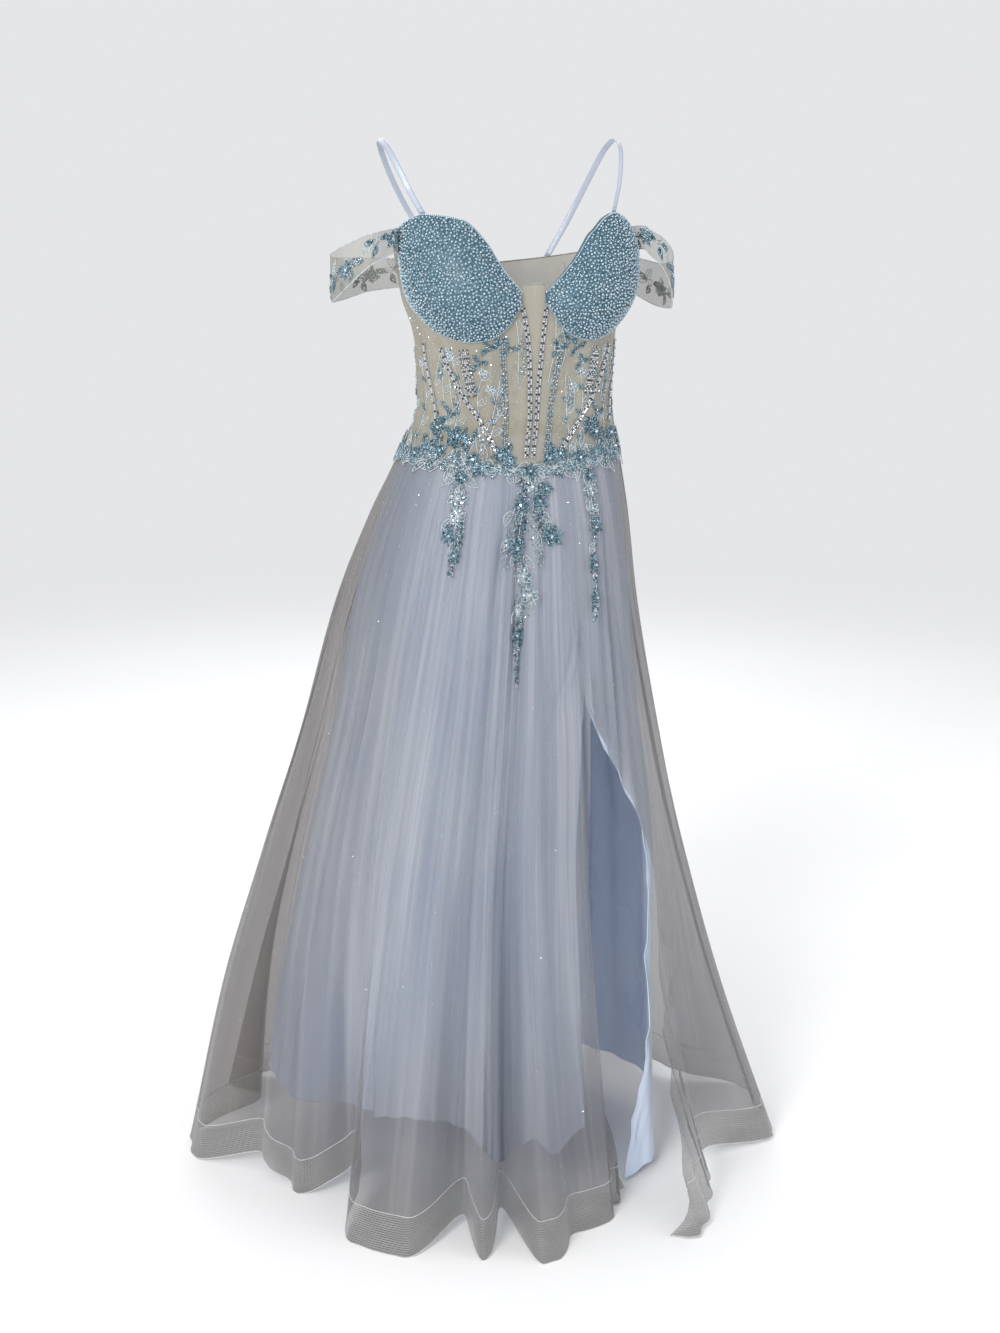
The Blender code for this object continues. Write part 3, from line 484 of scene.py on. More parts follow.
def add_piece(name, mesh, materials, replaced=()):
    """Puts a mesh in the scene as a piece that rides on the gown."""
    for material in materials:
        mesh.materials.append(material)
    piece = bpy.data.objects.new(name, mesh)
    bpy.context.scene.collection.objects.link(piece)
    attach(piece, "gown")
    if replaced:
        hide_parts(*replaced)
    return piece


def grid_faces(columns, rows):
    index = np.arange(columns * rows).reshape(columns, rows)
    corners = (index[:-1, :-1], index[1:, :-1], index[1:, 1:], index[:-1, 1:])
    return np.stack(corners, -1).reshape(-1, 4)


def wall_faces(columns, rows):
    """The faces of a closed wall between two grids: its front, its back and its edges."""
    front = grid_faces(columns, rows)
    total = columns * rows
    index = np.arange(total).reshape(columns, rows)
    rim = np.concatenate((index[:, 0], index[-1, 1:], index[-2::-1, -1], index[0, -2:0:-1]))
    after = np.roll(rim, -1)
    edges = np.stack((after, rim, rim + total, after + total), -1)
    return front, front[:, ::-1] + total, edges


def finish_cloth(mesh, places):
    """Gives each corner its place on the cloth, in metres, and smooth shading."""
    mesh.uv_layers.new(name="cloth").data.foreach_set("uv", places.ravel())
    mesh.shade_smooth()


def add_sheet(name, points, places, material, node):
    """A single layer of cloth from a grid of points, in place of a node."""
    faces = grid_faces(*points.shape[:2])
    mesh = bpy.data.meshes.new(name)
    mesh.from_pydata(points.reshape(-1, 3), [], faces.tolist())
    finish_cloth(mesh, np.stack(places, -1).reshape(-1, 2)[faces.ravel()])
    return add_piece(name, mesh, [material], [node])


def shell_mesh(name, outer, inner, places):
    """A closed wall between two grids of points. Its inner face has the second material."""
    front, back, edges = wall_faces(*outer.shape[:2])
    every = np.concatenate((front, back, edges))
    mesh = bpy.data.meshes.new(name)
    points = np.concatenate((outer.reshape(-1, 3), inner.reshape(-1, 3)))
    mesh.from_pydata(points, [], every.tolist())
    inside = np.zeros(len(every), int)
    inside[len(front) : 2 * len(front)] = 1
    mesh.polygons.foreach_set("material_index", inside)
    finish_cloth(mesh, np.tile(np.stack(places, -1).reshape(-1, 2), (2, 1))[every.ravel()])
    return mesh


class Pile:
    """Many small shapes that become one mesh. slot numbers pick the mesh's materials."""

    def __init__(self):
        self.points = []
        self.faces = []
        self.slots = []
        self.count = 0

    def add(self, points, face_groups, slot):
        for faces in face_groups:
            self.faces += (faces + self.count).tolist()
            self.slots += [slot] * len(faces)
        self.points.append(points)
        self.count += len(points)

    def copies(self, shape, places, axes, sizes, slot):
        """Copies of a shape at places, with its own axes and its size along each of them."""
        corners, face_groups = shape
        sizes = np.broadcast_to(np.asarray(sizes, float), (len(places), 3))
        local = corners[None] * sizes[:, None, :]
        spread = places[:, None] + np.einsum("nij,nkj->nki", axes, local)
        starts = np.arange(len(places))[:, None, None] * len(corners)
        groups = [(faces[None] + starts).reshape(-1, faces.shape[1]) for faces in face_groups]
        self.add(spread.reshape(-1, 3), groups, slot)

    def tube(self, path, out, radius, slot, sides=4, closed=False):
        """A round cord along a path."""
        ahead = np.gradient(path, axis=0)
        if closed:
            ahead = np.roll(path, -1, axis=0) - np.roll(path, 1, axis=0)
        ahead = unit(ahead)
        aside = unit(np.cross(ahead, out))
        over = np.cross(aside, ahead)
        angle = 2 * np.pi * np.arange(sides)[:, None] / sides
        ring = np.cos(angle) * aside[:, None] + np.sin(angle) * over[:, None]
        self.loft(path[:, None] + ring * radius, slot, closed)

    def loft(self, rings, slot, closed=False):
        """A skin over rings of points, with a flat face at each end unless it is closed."""
        index = np.arange(rings.shape[0] * rings.shape[1]).reshape(rings.shape[:2])
        ends = [] if closed else [index[:1], index[-1:, ::-1]]
        if closed:
            index = np.concatenate((index, index[:1]))
        beside = np.roll(index, -1, axis=1)
        walls = np.stack((index[:-1], index[1:], beside[1:], beside[:-1]), -1).reshape(-1, 4)
        self.add(rings.reshape(-1, 3), [walls, *ends], slot)

    def strip(self, outer, inner, slot):
        """A closed low wall between two grids of points."""
        points = np.concatenate((outer.reshape(-1, 3), inner.reshape(-1, 3)))
        self.add(points, wall_faces(*outer.shape[:2]), slot)

    def build(self, name, materials, slot, replaced=(), sharp=()):
        """sharp names the materials whose faces stay flat."""
        mesh = bpy.data.meshes.new(name)
        mesh.from_pydata(np.concatenate(self.points), [], self.faces)
        slots = np.array(self.slots, np.int32)
        mesh.polygons.foreach_set("material_index", slots)
        mesh.polygons.foreach_set("use_smooth", ~np.isin(slots, sharp))
        return add_piece(name, mesh, materials, replaced)


def ball(detail):
    bm = bmesh.new()
    bmesh.ops.create_icosphere(bm, subdivisions=detail, radius=1.0)
    corners = np.array([vert.co for vert in bm.verts])
    faces = np.array([[vert.index for vert in face.verts] for face in bm.faces])
    bm.free()
    return corners, [faces]


def ringed(rings, sides, phase=0.0):
    """A closed turned shape with few sides, from pairs of radius and height."""
    angle = 2 * np.pi * (np.arange(sides) + phase) / sides
    level = [
        np.stack((radius * np.cos(angle), radius * np.sin(angle), np.full(sides, height)), -1)
        for radius, height in rings
    ]
    index = np.arange(len(rings) * sides).reshape(len(rings), sides)
    beside = np.roll(index, -1, axis=1)
    walls = np.stack((index[:-1], beside[:-1], beside[1:], index[1:]), -1).reshape(-1, 4)
    return np.concatenate(level), [walls, index[:1, ::-1], index[-1:]]


# Shapes one unit in radius, in pairs of radius and height: they are scaled where they are used.
PEARL = ringed(((0.88, -0.48), (0.96, 0.28), (0.50, 0.87)), 7)
SEED = ball(1)
SEQUIN = ringed(((1.0, -0.06), (0.5, 0.2)), 7)
STONE = ringed(((1.0, -0.1), (0.58, 0.6)), 6)
BLOCK = ringed(((1.414, -1.0), (1.414, 1.0)), 4, 0.5)


def seated(radius, turn, height, lift, tilt=0.0):
    """Places lifted off a surface, and their axes: across, up and outward, tipped by tilt."""
    places, out = lifted(radius, turn, height, lift)
    up = on_surface(radius, turn, height + MM) - on_surface(radius, turn, height - MM)
    return places, turned_axes(out, up, tilt=tilt)


def turned_axes(out, up, spin=0.0, tilt=0.0):
    if tilt:
        out = unit(out + tilt * rng.normal(size=out.shape))
    up = unit(up - out * np.sum(up * out, -1, keepdims=True))
    across = np.cross(up, out)
    spin = np.broadcast_to(spin, out.shape[:1])[:, None]
    first = np.cos(spin) * across + np.sin(spin) * up
    second = np.cos(spin) * up - np.sin(spin) * across
    return np.stack((first, second, out), -1)


def stations(path, out, spacing):
    """Evenly spaced places along a path, with the directions outward and ahead there."""
    reach = np.concatenate(([0.0], np.cumsum(np.linalg.norm(np.diff(path, axis=0), axis=1))))
    count = max(int(round(reach[-1] / spacing)), 1)
    stops = (np.arange(count) + 0.5) * reach[-1] / count

    def read(values):
        return np.stack([np.interp(stops, reach, values[:, k]) for k in range(3)], -1)

    return read(path), unit(read(out)), unit(read(np.gradient(path, axis=0)))


def bead_row(pile, path, out, spacing, shape, sizes, slots, aside=0.0, tilt=0.0):
    """A row of beads along a path, moved aside, taking the listed material slots in turn."""
    places, facing, ahead = stations(path, out, spacing)
    axes = turned_axes(facing, ahead, tilt=tilt)
    places = places + axes[:, :, 0] * aside
    for k, slot in enumerate(slots):
        chosen = slice(k, None, len(slots))
        if len(places[chosen]):
            pile.copies(shape, places[chosen], axes[chosen], sizes, slot)


def smooth_route(points, count):
    """Turns and heights, or other columns, along a smooth line through given points."""
    steps = np.linspace(0, len(points) - 1, count)
    columns = zip(*points)
    return [Curve(list(enumerate(column)))(steps) for column in columns]


def spaced(points, gap, blocked=(), blocked_gap=0.0):
    """Indices of the points kept, in order, so that they lie a gap apart."""
    cell_size = max(gap, blocked_gap)
    cells = {}

    def cell_of(point):
        return tuple(np.floor(point / cell_size).astype(int).tolist())

    for point in blocked:
        cells.setdefault(cell_of(point), []).append((*point.tolist(), blocked_gap**2))
    kept = []
    steps = list(product((-1, 0, 1), repeat=3))
    for number, point in enumerate(points):
        a, b, c = cell_of(point)
        x, y, z = point.tolist()
        near = (
            (x - px) ** 2 + (y - py) ** 2 + (z - pz) ** 2 < limit
            for i, j, k in steps
            for px, py, pz, limit in cells.get((a + i, b + j, c + k), ())
        )
        if not any(near):
            kept.append(number)
            cells.setdefault((a, b, c), []).append((x, y, z, gap**2))
    return kept


# --- Materials ---


def new_material(name, **values):
    """A material whose even values are set on the shader's own sockets."""
    material = bpy.data.materials.new(name)
    material.use_nodes = True
    shader = material.node_tree.nodes["Principled BSDF"]
    sockets = {socket.name.lower(): socket for socket in shader.inputs}
    for key, value in values.items():
        sockets[key.replace("_", " ")].default_value = value
    return material, material.node_tree, shader


def add_node(tree, kind, values=(), **settings):
    node = tree.nodes.new(kind)
    for name, value in settings.items():
        setattr(node, name, value)
    for socket, value in dict(values).items():
        node.inputs[socket].default_value = value
    return node


def coordinates(tree, source, scale):
    """Texture coordinates with this many units to a metre, or so many along each axis."""
    if isinstance(scale, float):
        scale = (scale, scale, scale)
    place = add_node(tree, "ShaderNodeTexCoord")
    mapping = add_node(tree, "ShaderNodeMapping", {"Scale": scale})
    tree.links.new(place.outputs[source], mapping.inputs["Vector"])
    return mapping.outputs["Vector"]


def noise(tree, source, scale, detail=3.0):
    node = add_node(tree, "ShaderNodeTexNoise", {"Scale": 1.0, "Detail": detail})
    tree.links.new(coordinates(tree, source, scale), node.inputs["Vector"])
    return node.outputs["Fac"]


def waves(tree, source, scale, direction):
    settings = {"wave_type": "BANDS", "bands_direction": direction}
    node = add_node(tree, "ShaderNodeTexWave", {"Scale": 1.0}, **settings)
    tree.links.new(coordinates(tree, source, scale), node.inputs["Vector"])
    return node.outputs["Fac"]


def joined(tree, operation, first, second):
    node = add_node(tree, "ShaderNodeMath", operation=operation)
    for socket, value in zip(node.inputs, (first, second)):
        if isinstance(value, (int, float)):
            socket.default_value = value
        else:
            tree.links.new(value, socket)
    return node.outputs["Value"]


def weighted(tree, first, first_share, second, second_share):
    return joined(
        tree,
        "ADD",
        joined(tree, "MULTIPLY", first, first_share),
        joined(tree, "MULTIPLY", second, second_share),
    )


def mapped(tree, factor, first, last, low=0.0, high=1.0, **settings):
    """The factor's range from first to last, moved to between low and high."""
    limits = {"From Min": first, "From Max": last, "To Min": low, "To Max": high}
    node = add_node(tree, "ShaderNodeMapRange", limits, **settings)
    tree.links.new(factor, node.inputs["Value"])
    return node.outputs["Result"]


def toned(tree, factor, tones, low=0.34, high=0.66):
    """Colours from tones, evenly spread between two values of the factor."""
    node = add_node(tree, "ShaderNodeValToRGB")
    elements = node.color_ramp.elements
    while len(elements) < len(tones):
        elements.new(0.5)
    for number, (element, tone) in enumerate(zip(elements, tones)):
        element.position = low + (high - low) * number / (len(tones) - 1)
        element.color = (*tone, 1.0)
    tree.links.new(factor, node.inputs["Fac"])
    return node.outputs["Color"]


def dye(tree, shader, colour):
    tree.links.new(colour, shader.inputs["Base Color"])


def roughen(tree, shader, factor, low, high):
    tree.links.new(mapped(tree, factor, 0.3, 0.7, low, high), shader.inputs["Roughness"])


def bump(tree, shader, height, strength, distance):
    node = add_node(tree, "ShaderNodeBump", {"Strength": strength, "Distance": distance})
    tree.links.new(height, node.inputs["Height"])
    tree.links.new(node.outputs["Normal"], shader.inputs["Normal"])


def painted_shade_share(tree):
    """How far the painted shade tones take over: far from the centre front, and near the hem."""
    place = add_node(tree, "ShaderNodeSeparateXYZ")
    tree.links.new(coordinates(tree, "UV", 1.0), place.inputs["Vector"])
    far = mapped(tree, joined(tree, "ABSOLUTE", place.outputs["X"], 0.0), 0.24, 0.44)
    low = mapped(tree, place.outputs["Y"], -1.10, -1.30, high=0.75)
    return joined(tree, "MAXIMUM", far, low)


def net_material(name, tones, alpha, threads, sheen, streak, painted_shade_tones=None):
    """Fine net: streaks along the cloth, broad clouds and the relief of its threads, with painted
    shade tones at the sides and near the hem when they are given.
    """
    material, tree, shader = new_material(
        name, roughness=0.75, alpha=alpha, sheen_weight=sheen, sheen_roughness=0.45
    )
    streaks = noise(tree, "UV", (120.0, 2.0, 1.0))
    clouds = noise(tree, "UV", (16.0, 1.3, 1.0))
    mixed = weighted(tree, streaks, streak, clouds, 1.0 - streak)
    colour = toned(tree, mixed, tones)
    # Painted shade: darker tones at the sides and near the hem stand in for the shade of the
    # layered tulle.
    if painted_shade_tones:
        blend = add_node(tree, "ShaderNodeMix", data_type="RGBA")
        sides = toned(tree, mixed, painted_shade_tones)
        for socket, value in ((0, painted_shade_share(tree)), (6, colour), (7, sides)):
            tree.links.new(value, blend.inputs[socket])
        colour = blend.outputs[2]
    dye(tree, shader, colour)
    across, along = (waves(tree, "UV", (threads, threads, 1.0), way) for way in "XY")
    bump(tree, shader, joined(tree, "MAXIMUM", across, along), 0.35, 0.0004)
    return material


def satin_material(name, tones, roughness, wrinkles):
    """Smooth satin: a fine weave, soft wrinkles and a slow change of tone."""
    material, tree, shader = new_material(
        name, sheen_weight=0.25, sheen_roughness=0.3, specular_ior_level=0.6, anisotropic=0.3
    )
    slow = noise(tree, "Object", (9.0, 9.0, 4.0))
    dye(tree, shader, toned(tree, slow, tones, 0.35, 0.65))
    roughen(tree, shader, slow, roughness - 0.05, roughness + 0.06)
    folds = noise(tree, "Object", (30.0, 30.0, 9.0), detail=4.0)
    weave = waves(tree, "Object", (600.0, 600.0, 900.0), "DIAGONAL")
    bump(tree, shader, weighted(tree, folds, wrinkles, weave, 0.02), 0.5, 0.004)
    return material


def bead_material(name, tones, spots, **values):
    """Glass or metal beads, whose colour changes from bead to bead."""
    material, tree, shader = new_material(name, **values)
    dye(tree, shader, toned(tree, noise(tree, "Object", spots, detail=1.0), tones))
    bump(tree, shader, noise(tree, "Object", 900.0, detail=0.0), 0.08, 0.0003)
    return material


def cord_material(name, tones, roughness):
    """Twisted thread."""
    material, tree, shader = new_material(name, roughness=roughness, sheen_weight=0.3)
    dye(tree, shader, toned(tree, noise(tree, "Object", 400.0), tones, 0.4, 0.6))
    bump(tree, shader, waves(tree, "Object", 700.0, "DIAGONAL"), 0.4, 0.0003)
    return material


def braid_material(name, tones):
    """Stiff sheer braid with fine threads along it."""
    material, tree, shader = new_material(name, roughness=0.5, alpha=0.62, sheen_weight=0.2)
    lines = waves(tree, "UV", (1.0, 110.0, 1.0), "Y")
    clouds = noise(tree, "UV", (25.0, 60.0, 1.0))
    dye(tree, shader, toned(tree, weighted(tree, lines, 0.4, clouds, 0.5), tones, 0.3, 0.7))
    bump(tree, shader, lines, 0.5, 0.0006)
    return material


def metal_material(name, tones, roughness):
    """Polished metal with fine scuffs."""
    material, tree, shader = new_material(name, metallic=1.0)
    scuffs = noise(tree, "Object", (260.0, 260.0, 900.0), detail=5.0)
    dye(tree, shader, toned(tree, scuffs, tones, 0.35, 0.65))
    roughen(tree, shader, scuffs, roughness - 0.06, roughness + 0.12)
    bump(tree, shader, scuffs, 0.15, 0.0002)
    return material


def floor_material(name, tones):
    """A pale floor that fades out towards its rim."""
    material, tree, shader = new_material(name, roughness=0.9, specular_ior_level=0.1)
    dye(tree, shader, toned(tree, noise(tree, "Object", 1.2), tones, 0.3, 0.7))
    reach = add_node(tree, "ShaderNodeTexGradient", gradient_type="SPHERICAL")
    tree.links.new(coordinates(tree, "Object", 1 / FLOOR_RADIUS), reach.inputs["Vector"])
    fade = mapped(tree, reach.outputs["Fac"], 0.0, 0.6, interpolation_type="SMOOTHSTEP")
    tree.links.new(fade, shader.inputs["Alpha"])
    return material


# Tones from dark to light, as red, green and blue shares of light.
TULLE_TONES = ((0.115, 0.13, 0.17), (0.195, 0.202, 0.228), (0.33, 0.33, 0.35))
# Painted shade: darker tones that the tulle takes at its sides and near the hem.
TULLE_PAINTED_SHADE_TONES = ((0.054, 0.046, 0.045), (0.092, 0.080, 0.077), (0.150, 0.134, 0.130))
NET_TONES = ((0.27, 0.25, 0.195), (0.315, 0.295, 0.235), (0.36, 0.34, 0.275))
SLEEVE_TONES = ((0.19, 0.19, 0.17), (0.24, 0.24, 0.215), (0.29, 0.29, 0.26))
BRAID_TONES = ((0.075, 0.07, 0.066), (0.22, 0.21, 0.20))
LINING_TONES = ((0.58, 0.67, 0.85), (0.72, 0.80, 0.94))
CUP_LINING_TONES = ((0.36, 0.38, 0.40), (0.44, 0.46, 0.48))
STRAP_TONES = ((0.36, 0.41, 0.50), (0.44, 0.49, 0.58))
CUP_TONES = ((0.035, 0.085, 0.12), (0.08, 0.165, 0.22))
PEARL_TONES = ((0.22, 0.34, 0.42), (0.33, 0.46, 0.54), (0.46, 0.58, 0.65))
TEAL_TONES = ((0.02, 0.055, 0.08), (0.09, 0.19, 0.25), (0.32, 0.47, 0.55))
SILVER_TONES = ((0.13, 0.20, 0.24), (0.31, 0.40, 0.45), (0.62, 0.70, 0.74))
SHADE_TONES = ((0.008, 0.018, 0.026), (0.03, 0.06, 0.08))
BRIGHT_TONES = ((0.62, 0.64, 0.68), (0.90, 0.92, 0.95))
DARK_TONES = ((0.02, 0.022, 0.03), (0.10, 0.11, 0.13))
CORD_TONES = ((0.36, 0.43, 0.47), (0.58, 0.65, 0.69))
CASING_TONES = ((0.20, 0.20, 0.20), (0.30, 0.30, 0.30))
THREAD_TONES = ((0.45, 0.45, 0.46), (0.62, 0.62, 0.63))
TAPE_TONES = ((0.25, 0.31, 0.43), (0.34, 0.40, 0.52))
TEETH_TONES = ((0.42, 0.46, 0.55), (0.60, 0.64, 0.72))
METAL_TONES = ((0.50, 0.52, 0.56), (0.72, 0.74, 0.78))
FLOOR_TONES = ((0.86, 0.86, 0.87), (0.90, 0.90, 0.90))


def cloth_materials():
    return {
        "tulle": net_material("tulle", TULLE_TONES, 0.60, 620.0, 0.25, 0.4, TULLE_PAINTED_SHADE_TONES),
        "net": net_material("corset_net", NET_TONES, 0.72, 700.0, 0.1, 0.1),
        "sleeve": net_material("sleeve_net", SLEEVE_TONES, 0.58, 700.0, 0.15, 0.2),
        "braid": braid_material("hem_braid", BRAID_TONES),
        "satin": satin_material("lining_satin", LINING_TONES, 0.28, 1.0),
        "cup_lining": satin_material("cup_lining", CUP_LINING_TONES, 0.45, 0.2),
        "strap": satin_material("strap_satin", STRAP_TONES, 0.3, 0.1),
        "cup": bead_material("cup_cloth", CUP_TONES, 500.0, roughness=0.5, sheen_weight=0.1),
        "cord": cord_material("white_cord", CORD_TONES, 0.5),
        "casing": cord_material("bone_casing", CASING_TONES, 0.6),
        "thread": cord_material("hem_thread", THREAD_TONES, 0.6),
        "tape": cord_material("zip_tape", TAPE_TONES, 0.7),
    }


def hard_materials():
    """The beads', the stones' and the zip's. Each bead's numbers: spots to a metre, and gloss."""
    beads = (
        ("pearl", "pearl", PEARL_TONES, 200.0, 0.3, 0.2, 1.0),
        ("seed", "teal_seed", TEAL_TONES, 420.0, 0.2, 0.3, 0.8),
        ("sequin", "teal_sequin", TEAL_TONES, 300.0, 0.2, 0.65, 0.0),
        ("silver", "silver_sequin", SILVER_TONES, 300.0, 0.18, 0.7, 0.0),
        ("shade", "dark_teal_bead", SHADE_TONES, 300.0, 0.12, 0.0, 0.8),
        ("bright", "bright_stone", BRIGHT_TONES, 500.0, 0.08, 0.75, 0.0),
        ("dark", "dark_stone", DARK_TONES, 500.0, 0.08, 0.6, 0.0),
    )
    made = {
        key: bead_material(
            name, tones, spots, roughness=roughness, metallic=metallic, coat_weight=coat
        )
        for key, name, tones, spots, roughness, metallic, coat in beads
    }
    pearl_shader = made["pearl"].node_tree.nodes["Principled BSDF"]
    pearl_shader.inputs["Coat Roughness"].default_value = 0.05
    made["teeth"] = metal_material("zip_teeth", TEETH_TONES, 0.3)
    made["metal"] = metal_material("zip_metal", METAL_TONES, 0.22)
    return made


# --- The skirt ---


def hem(turn):
    return FLOOR + TULLE_FOLDS["lift"](turn)


def braid_top(turn):
    return hem(turn) + BRAID_WIDTH


def lining_top(turn):
    return seam_height(turn) - LINING_DROP


def lining_hem(turn):
    return LINING_FOLDS["hem"](turn)


def back_seam(side):
    """The back seam, which leaves room for the zip at its top."""

    def turn(height):
        open_share = np.clip(1 + (height - ZIP_END) / ZIP_CLOSING, 0.0, 1.0)
        return 180 - side * open_share * np.degrees(ZIP_SLOT / 2 / GOWN["back"](height))

    return turn


def slit_edge(column):
    def turn(height):
        return np.where(height > SLIT_TOP, SLIT_SEAM["turn"](height), SLIT[column](height))

    return turn


def skirt_edges(cloth):
    return {
        "front": (fixed(-SKIRT_SIDE_SEAM), slit_edge(f"{cloth}_front")),
        "left": (slit_edge(f"{cloth}_left"), fixed(SKIRT_SIDE_SEAM)),
        "back_left": (fixed(SKIRT_SIDE_SEAM), back_seam(1)),
        "back_right": (back_seam(-1), fixed(360 - SKIRT_SIDE_SEAM)),
    }


SKIRT_SPANS = {"front": 130, "left": 62, "back_left": 84, "back_right": 84}  # degrees, about
SLIT_COLUMNS = {"front": -1, "left": 0}  # the column of each panel's grid that is at the slit
BRAID_THREADS = ((0, 0.7 * MM), (-1, 0.55 * MM))  # the row of each and its radius


def skirt_grid(name, edges, outline, grid):
    per_degree, rows = grid
    return panel_places(edges, outline, int(SKIRT_SPANS[name] * per_degree), rows)


def build_tulle(look):
    """The tulle overlay, and the stiff braid along its hem with a thread on each edge."""
    for name, edges in skirt_edges("tulle").items():
        radius = left_tulle_cloth if name == "left" else tulle_cloth
        turn, height = skirt_grid(name, edges, (braid_top, seam_height), TULLE_GRID)
        points = on_surface(radius, turn, height)
        places = (turn * SKIRT_GIRTH, height)
        sheet, node = f"tulle_sheet_{name}", f"tulle_{name}"
        tulle = add_sheet(sheet, points, places, look["tulle"], node)

        turn, height = skirt_grid(name, edges, (hem, braid_top), BRAID_GRID)
        band = on_surface(radius, turn, height)
        places = (turn * SKIRT_GIRTH, height - height[:, :1])
        sheet, node = f"braid_sheet_{name}", f"braid_{name}"
        braid = add_sheet(sheet, band, places, look["braid"], node)

        pile = Pile()
        for row, thickness in BRAID_THREADS:
            out = outward(radius, turn[:, row], height[:, row])
            pile.tube(band[:, row], out, thickness, 0)
        thread = pile.build(f"braid_thread_{name}", [look["thread"]], "hem_braid")


def build_lining(look):
    """The satin lining, with a narrow turned hem along its lower edge and the slit."""
    for name, edges in skirt_edges("lining").items():
        turn, height = skirt_grid(name, edges, (lining_hem, lining_top), LINING_GRID)
        points = on_surface(lining_cloth, turn, height)
        places = (turn * SKIRT_GIRTH, height)
        sheet, node = f"lining_sheet_{name}", f"lining_{name}"
        piece = add_sheet(sheet, points, places, look["satin"], node)
        pile = Pile()
        out = outward(lining_cloth, turn[:, 0], height[:, 0])
        pile.tube(points[:, 0], out, SEAM_RADIUS, 0)
        if name in SLIT_COLUMNS:
            column = SLIT_COLUMNS[name]
            rows = height[column] < SLIT_TOP
            out = outward(lining_cloth, turn[column], height[column])
            pile.tube(points[column][rows], out[rows], SEAM_RADIUS, 0)
        edge = pile.build(f"lining_edge_{name}", [look["satin"]], "satin")


GLITTER_COUNT = 1200
GLITTER_SIZE = (0.45, 0.85)  # radius in millimetres


def build_glitter(look):
    """Sparse specks of glitter on the tulle, but none across the slit."""
    turn = rng.uniform(-95, 264, GLITTER_COUNT)
    height = seam_height(turn) - 0.02 - 0.93 * rng.uniform(0, 1, GLITTER_COUNT) ** 1.2
    across_slit = (turn > 24) & (turn < 70) & (height < SLIT_TOP)
    turn, height = turn[~across_slit], height[~across_slit]
    places, axes = seated(tulle_cloth, turn, height, 0.35 * MM, 0.5)
    sizes = np.stack([rng.uniform(*GLITTER_SIZE, len(turn)) * MM] * 3, -1)
    pile = Pile()
    pile.copies(STONE, places, axes, sizes, 0)
    pile.build("tulle_glitter", [look["bright"]], "tulle", sharp=[0])


# --- The bodice ---


def build_net(look):
    """Sheer net panels between the bones, and the cords along their top edges."""

    def under_cup(turn):
        return CUP["low"](np.abs(turn)) - CUP_SEAM

    def plunge(turn):
        return PLUNGE_TOP + 0 * turn

    def back_top(turn):
        return BACK_TOP["height"](np.abs(turn))

    slot_turn = math.degrees(ZIP_SLOT / 2 / GOWN["back"](-0.25))
    panels = {"centre_front": ((mirrored(-1, "centre"), mirrored(1, "centre")), plunge, 12)}
    for name, side in SIDES:
        centre, slant = mirrored(side, "centre"), mirrored(side, "slant")
        seam, slot = fixed(side * SIDE_SEAM), fixed(side * (180 - slot_turn))
        panels[f"front_{name}"] = (ordered(side, centre, slant), under_cup, 40)
        panels[f"side_front_{name}"] = (ordered(side, slant, seam), under_cup, 40)
        panels[f"back_{name}"] = (ordered(side, seam, slot), back_top, 60)
    for name, (edges, top, columns) in panels.items():
        turn, height = panel_places(edges, (seam_height, top), columns, NET_ROWS)
        points = on_surface(net_cloth, turn, height)
        places = (turn * BODICE_GIRTH, height)
        piece = add_sheet(f"net_{name}", points, places, look["net"], name)

    pile = Pile()
    routes = [(np.linspace(-7.6, 7.6, 12), plunge)]
    for _, side in SIDES:
        routes.append((side * np.linspace(SIDE_SEAM, 180 - slot_turn, 60), back_top))
    for turn, top in routes:
        path, out = lifted(net_cloth, turn, top(turn), 0.2 * MM)
        pile.tube(path, out, SEAM_RADIUS, 0, sides=6)
    for _, side in SIDES:
        height = np.linspace(WAIST_SEAM, BACK_TOP["height"](180.0), 40)
        for turn in (side * SIDE_SEAM, side * BACK_DART):
            below_top = np.minimum(height, back_top(turn))
            path, out = lifted(net_cloth, turn + 0 * height, below_top, 0.2 * MM)
            pile.tube(path, out, CORD_RADIUS, 0)
    pile.build("bodice_seams", [look["casing"]], "corset_mesh")


def cup_outline(side, inset):
    """Turns and heights once round a cup, a little inside its edge."""
    turn = np.linspace(CUP_INNER + 0.5, CUP_OUTER - 0.5, 90)
    low, high = cup_low(side * turn) + inset, cup_top(side * turn) - inset
    turns = np.concatenate((turn, turn[::-1]))
    return side * turns, np.concatenate((low, high[::-1]))


def build_cups(look):
    """Padded cups, closely covered with pearls and smaller beads between them."""
    for name, side in SIDES:
        edges = ordered(side, fixed(side * CUP_INNER), fixed(side * CUP_OUTER))
        turn, height = panel_places(edges, (cup_low, cup_top), *CUP_GRID)
        outer, out = lifted(cup_radius, turn, height, 0.0)
        places = (turn * BODICE_GIRTH, height)
        mesh = shell_mesh(f"cup_pad_{name}", outer, outer - out * PADDING, places)
        looks = [look["cup"], look["cup_lining"]]
        cup = add_piece(mesh.name, mesh, looks, [f"cup_{name}"])
        build_cup_beads(name, side, look)


CUP_BEAD_TRIES = 16000


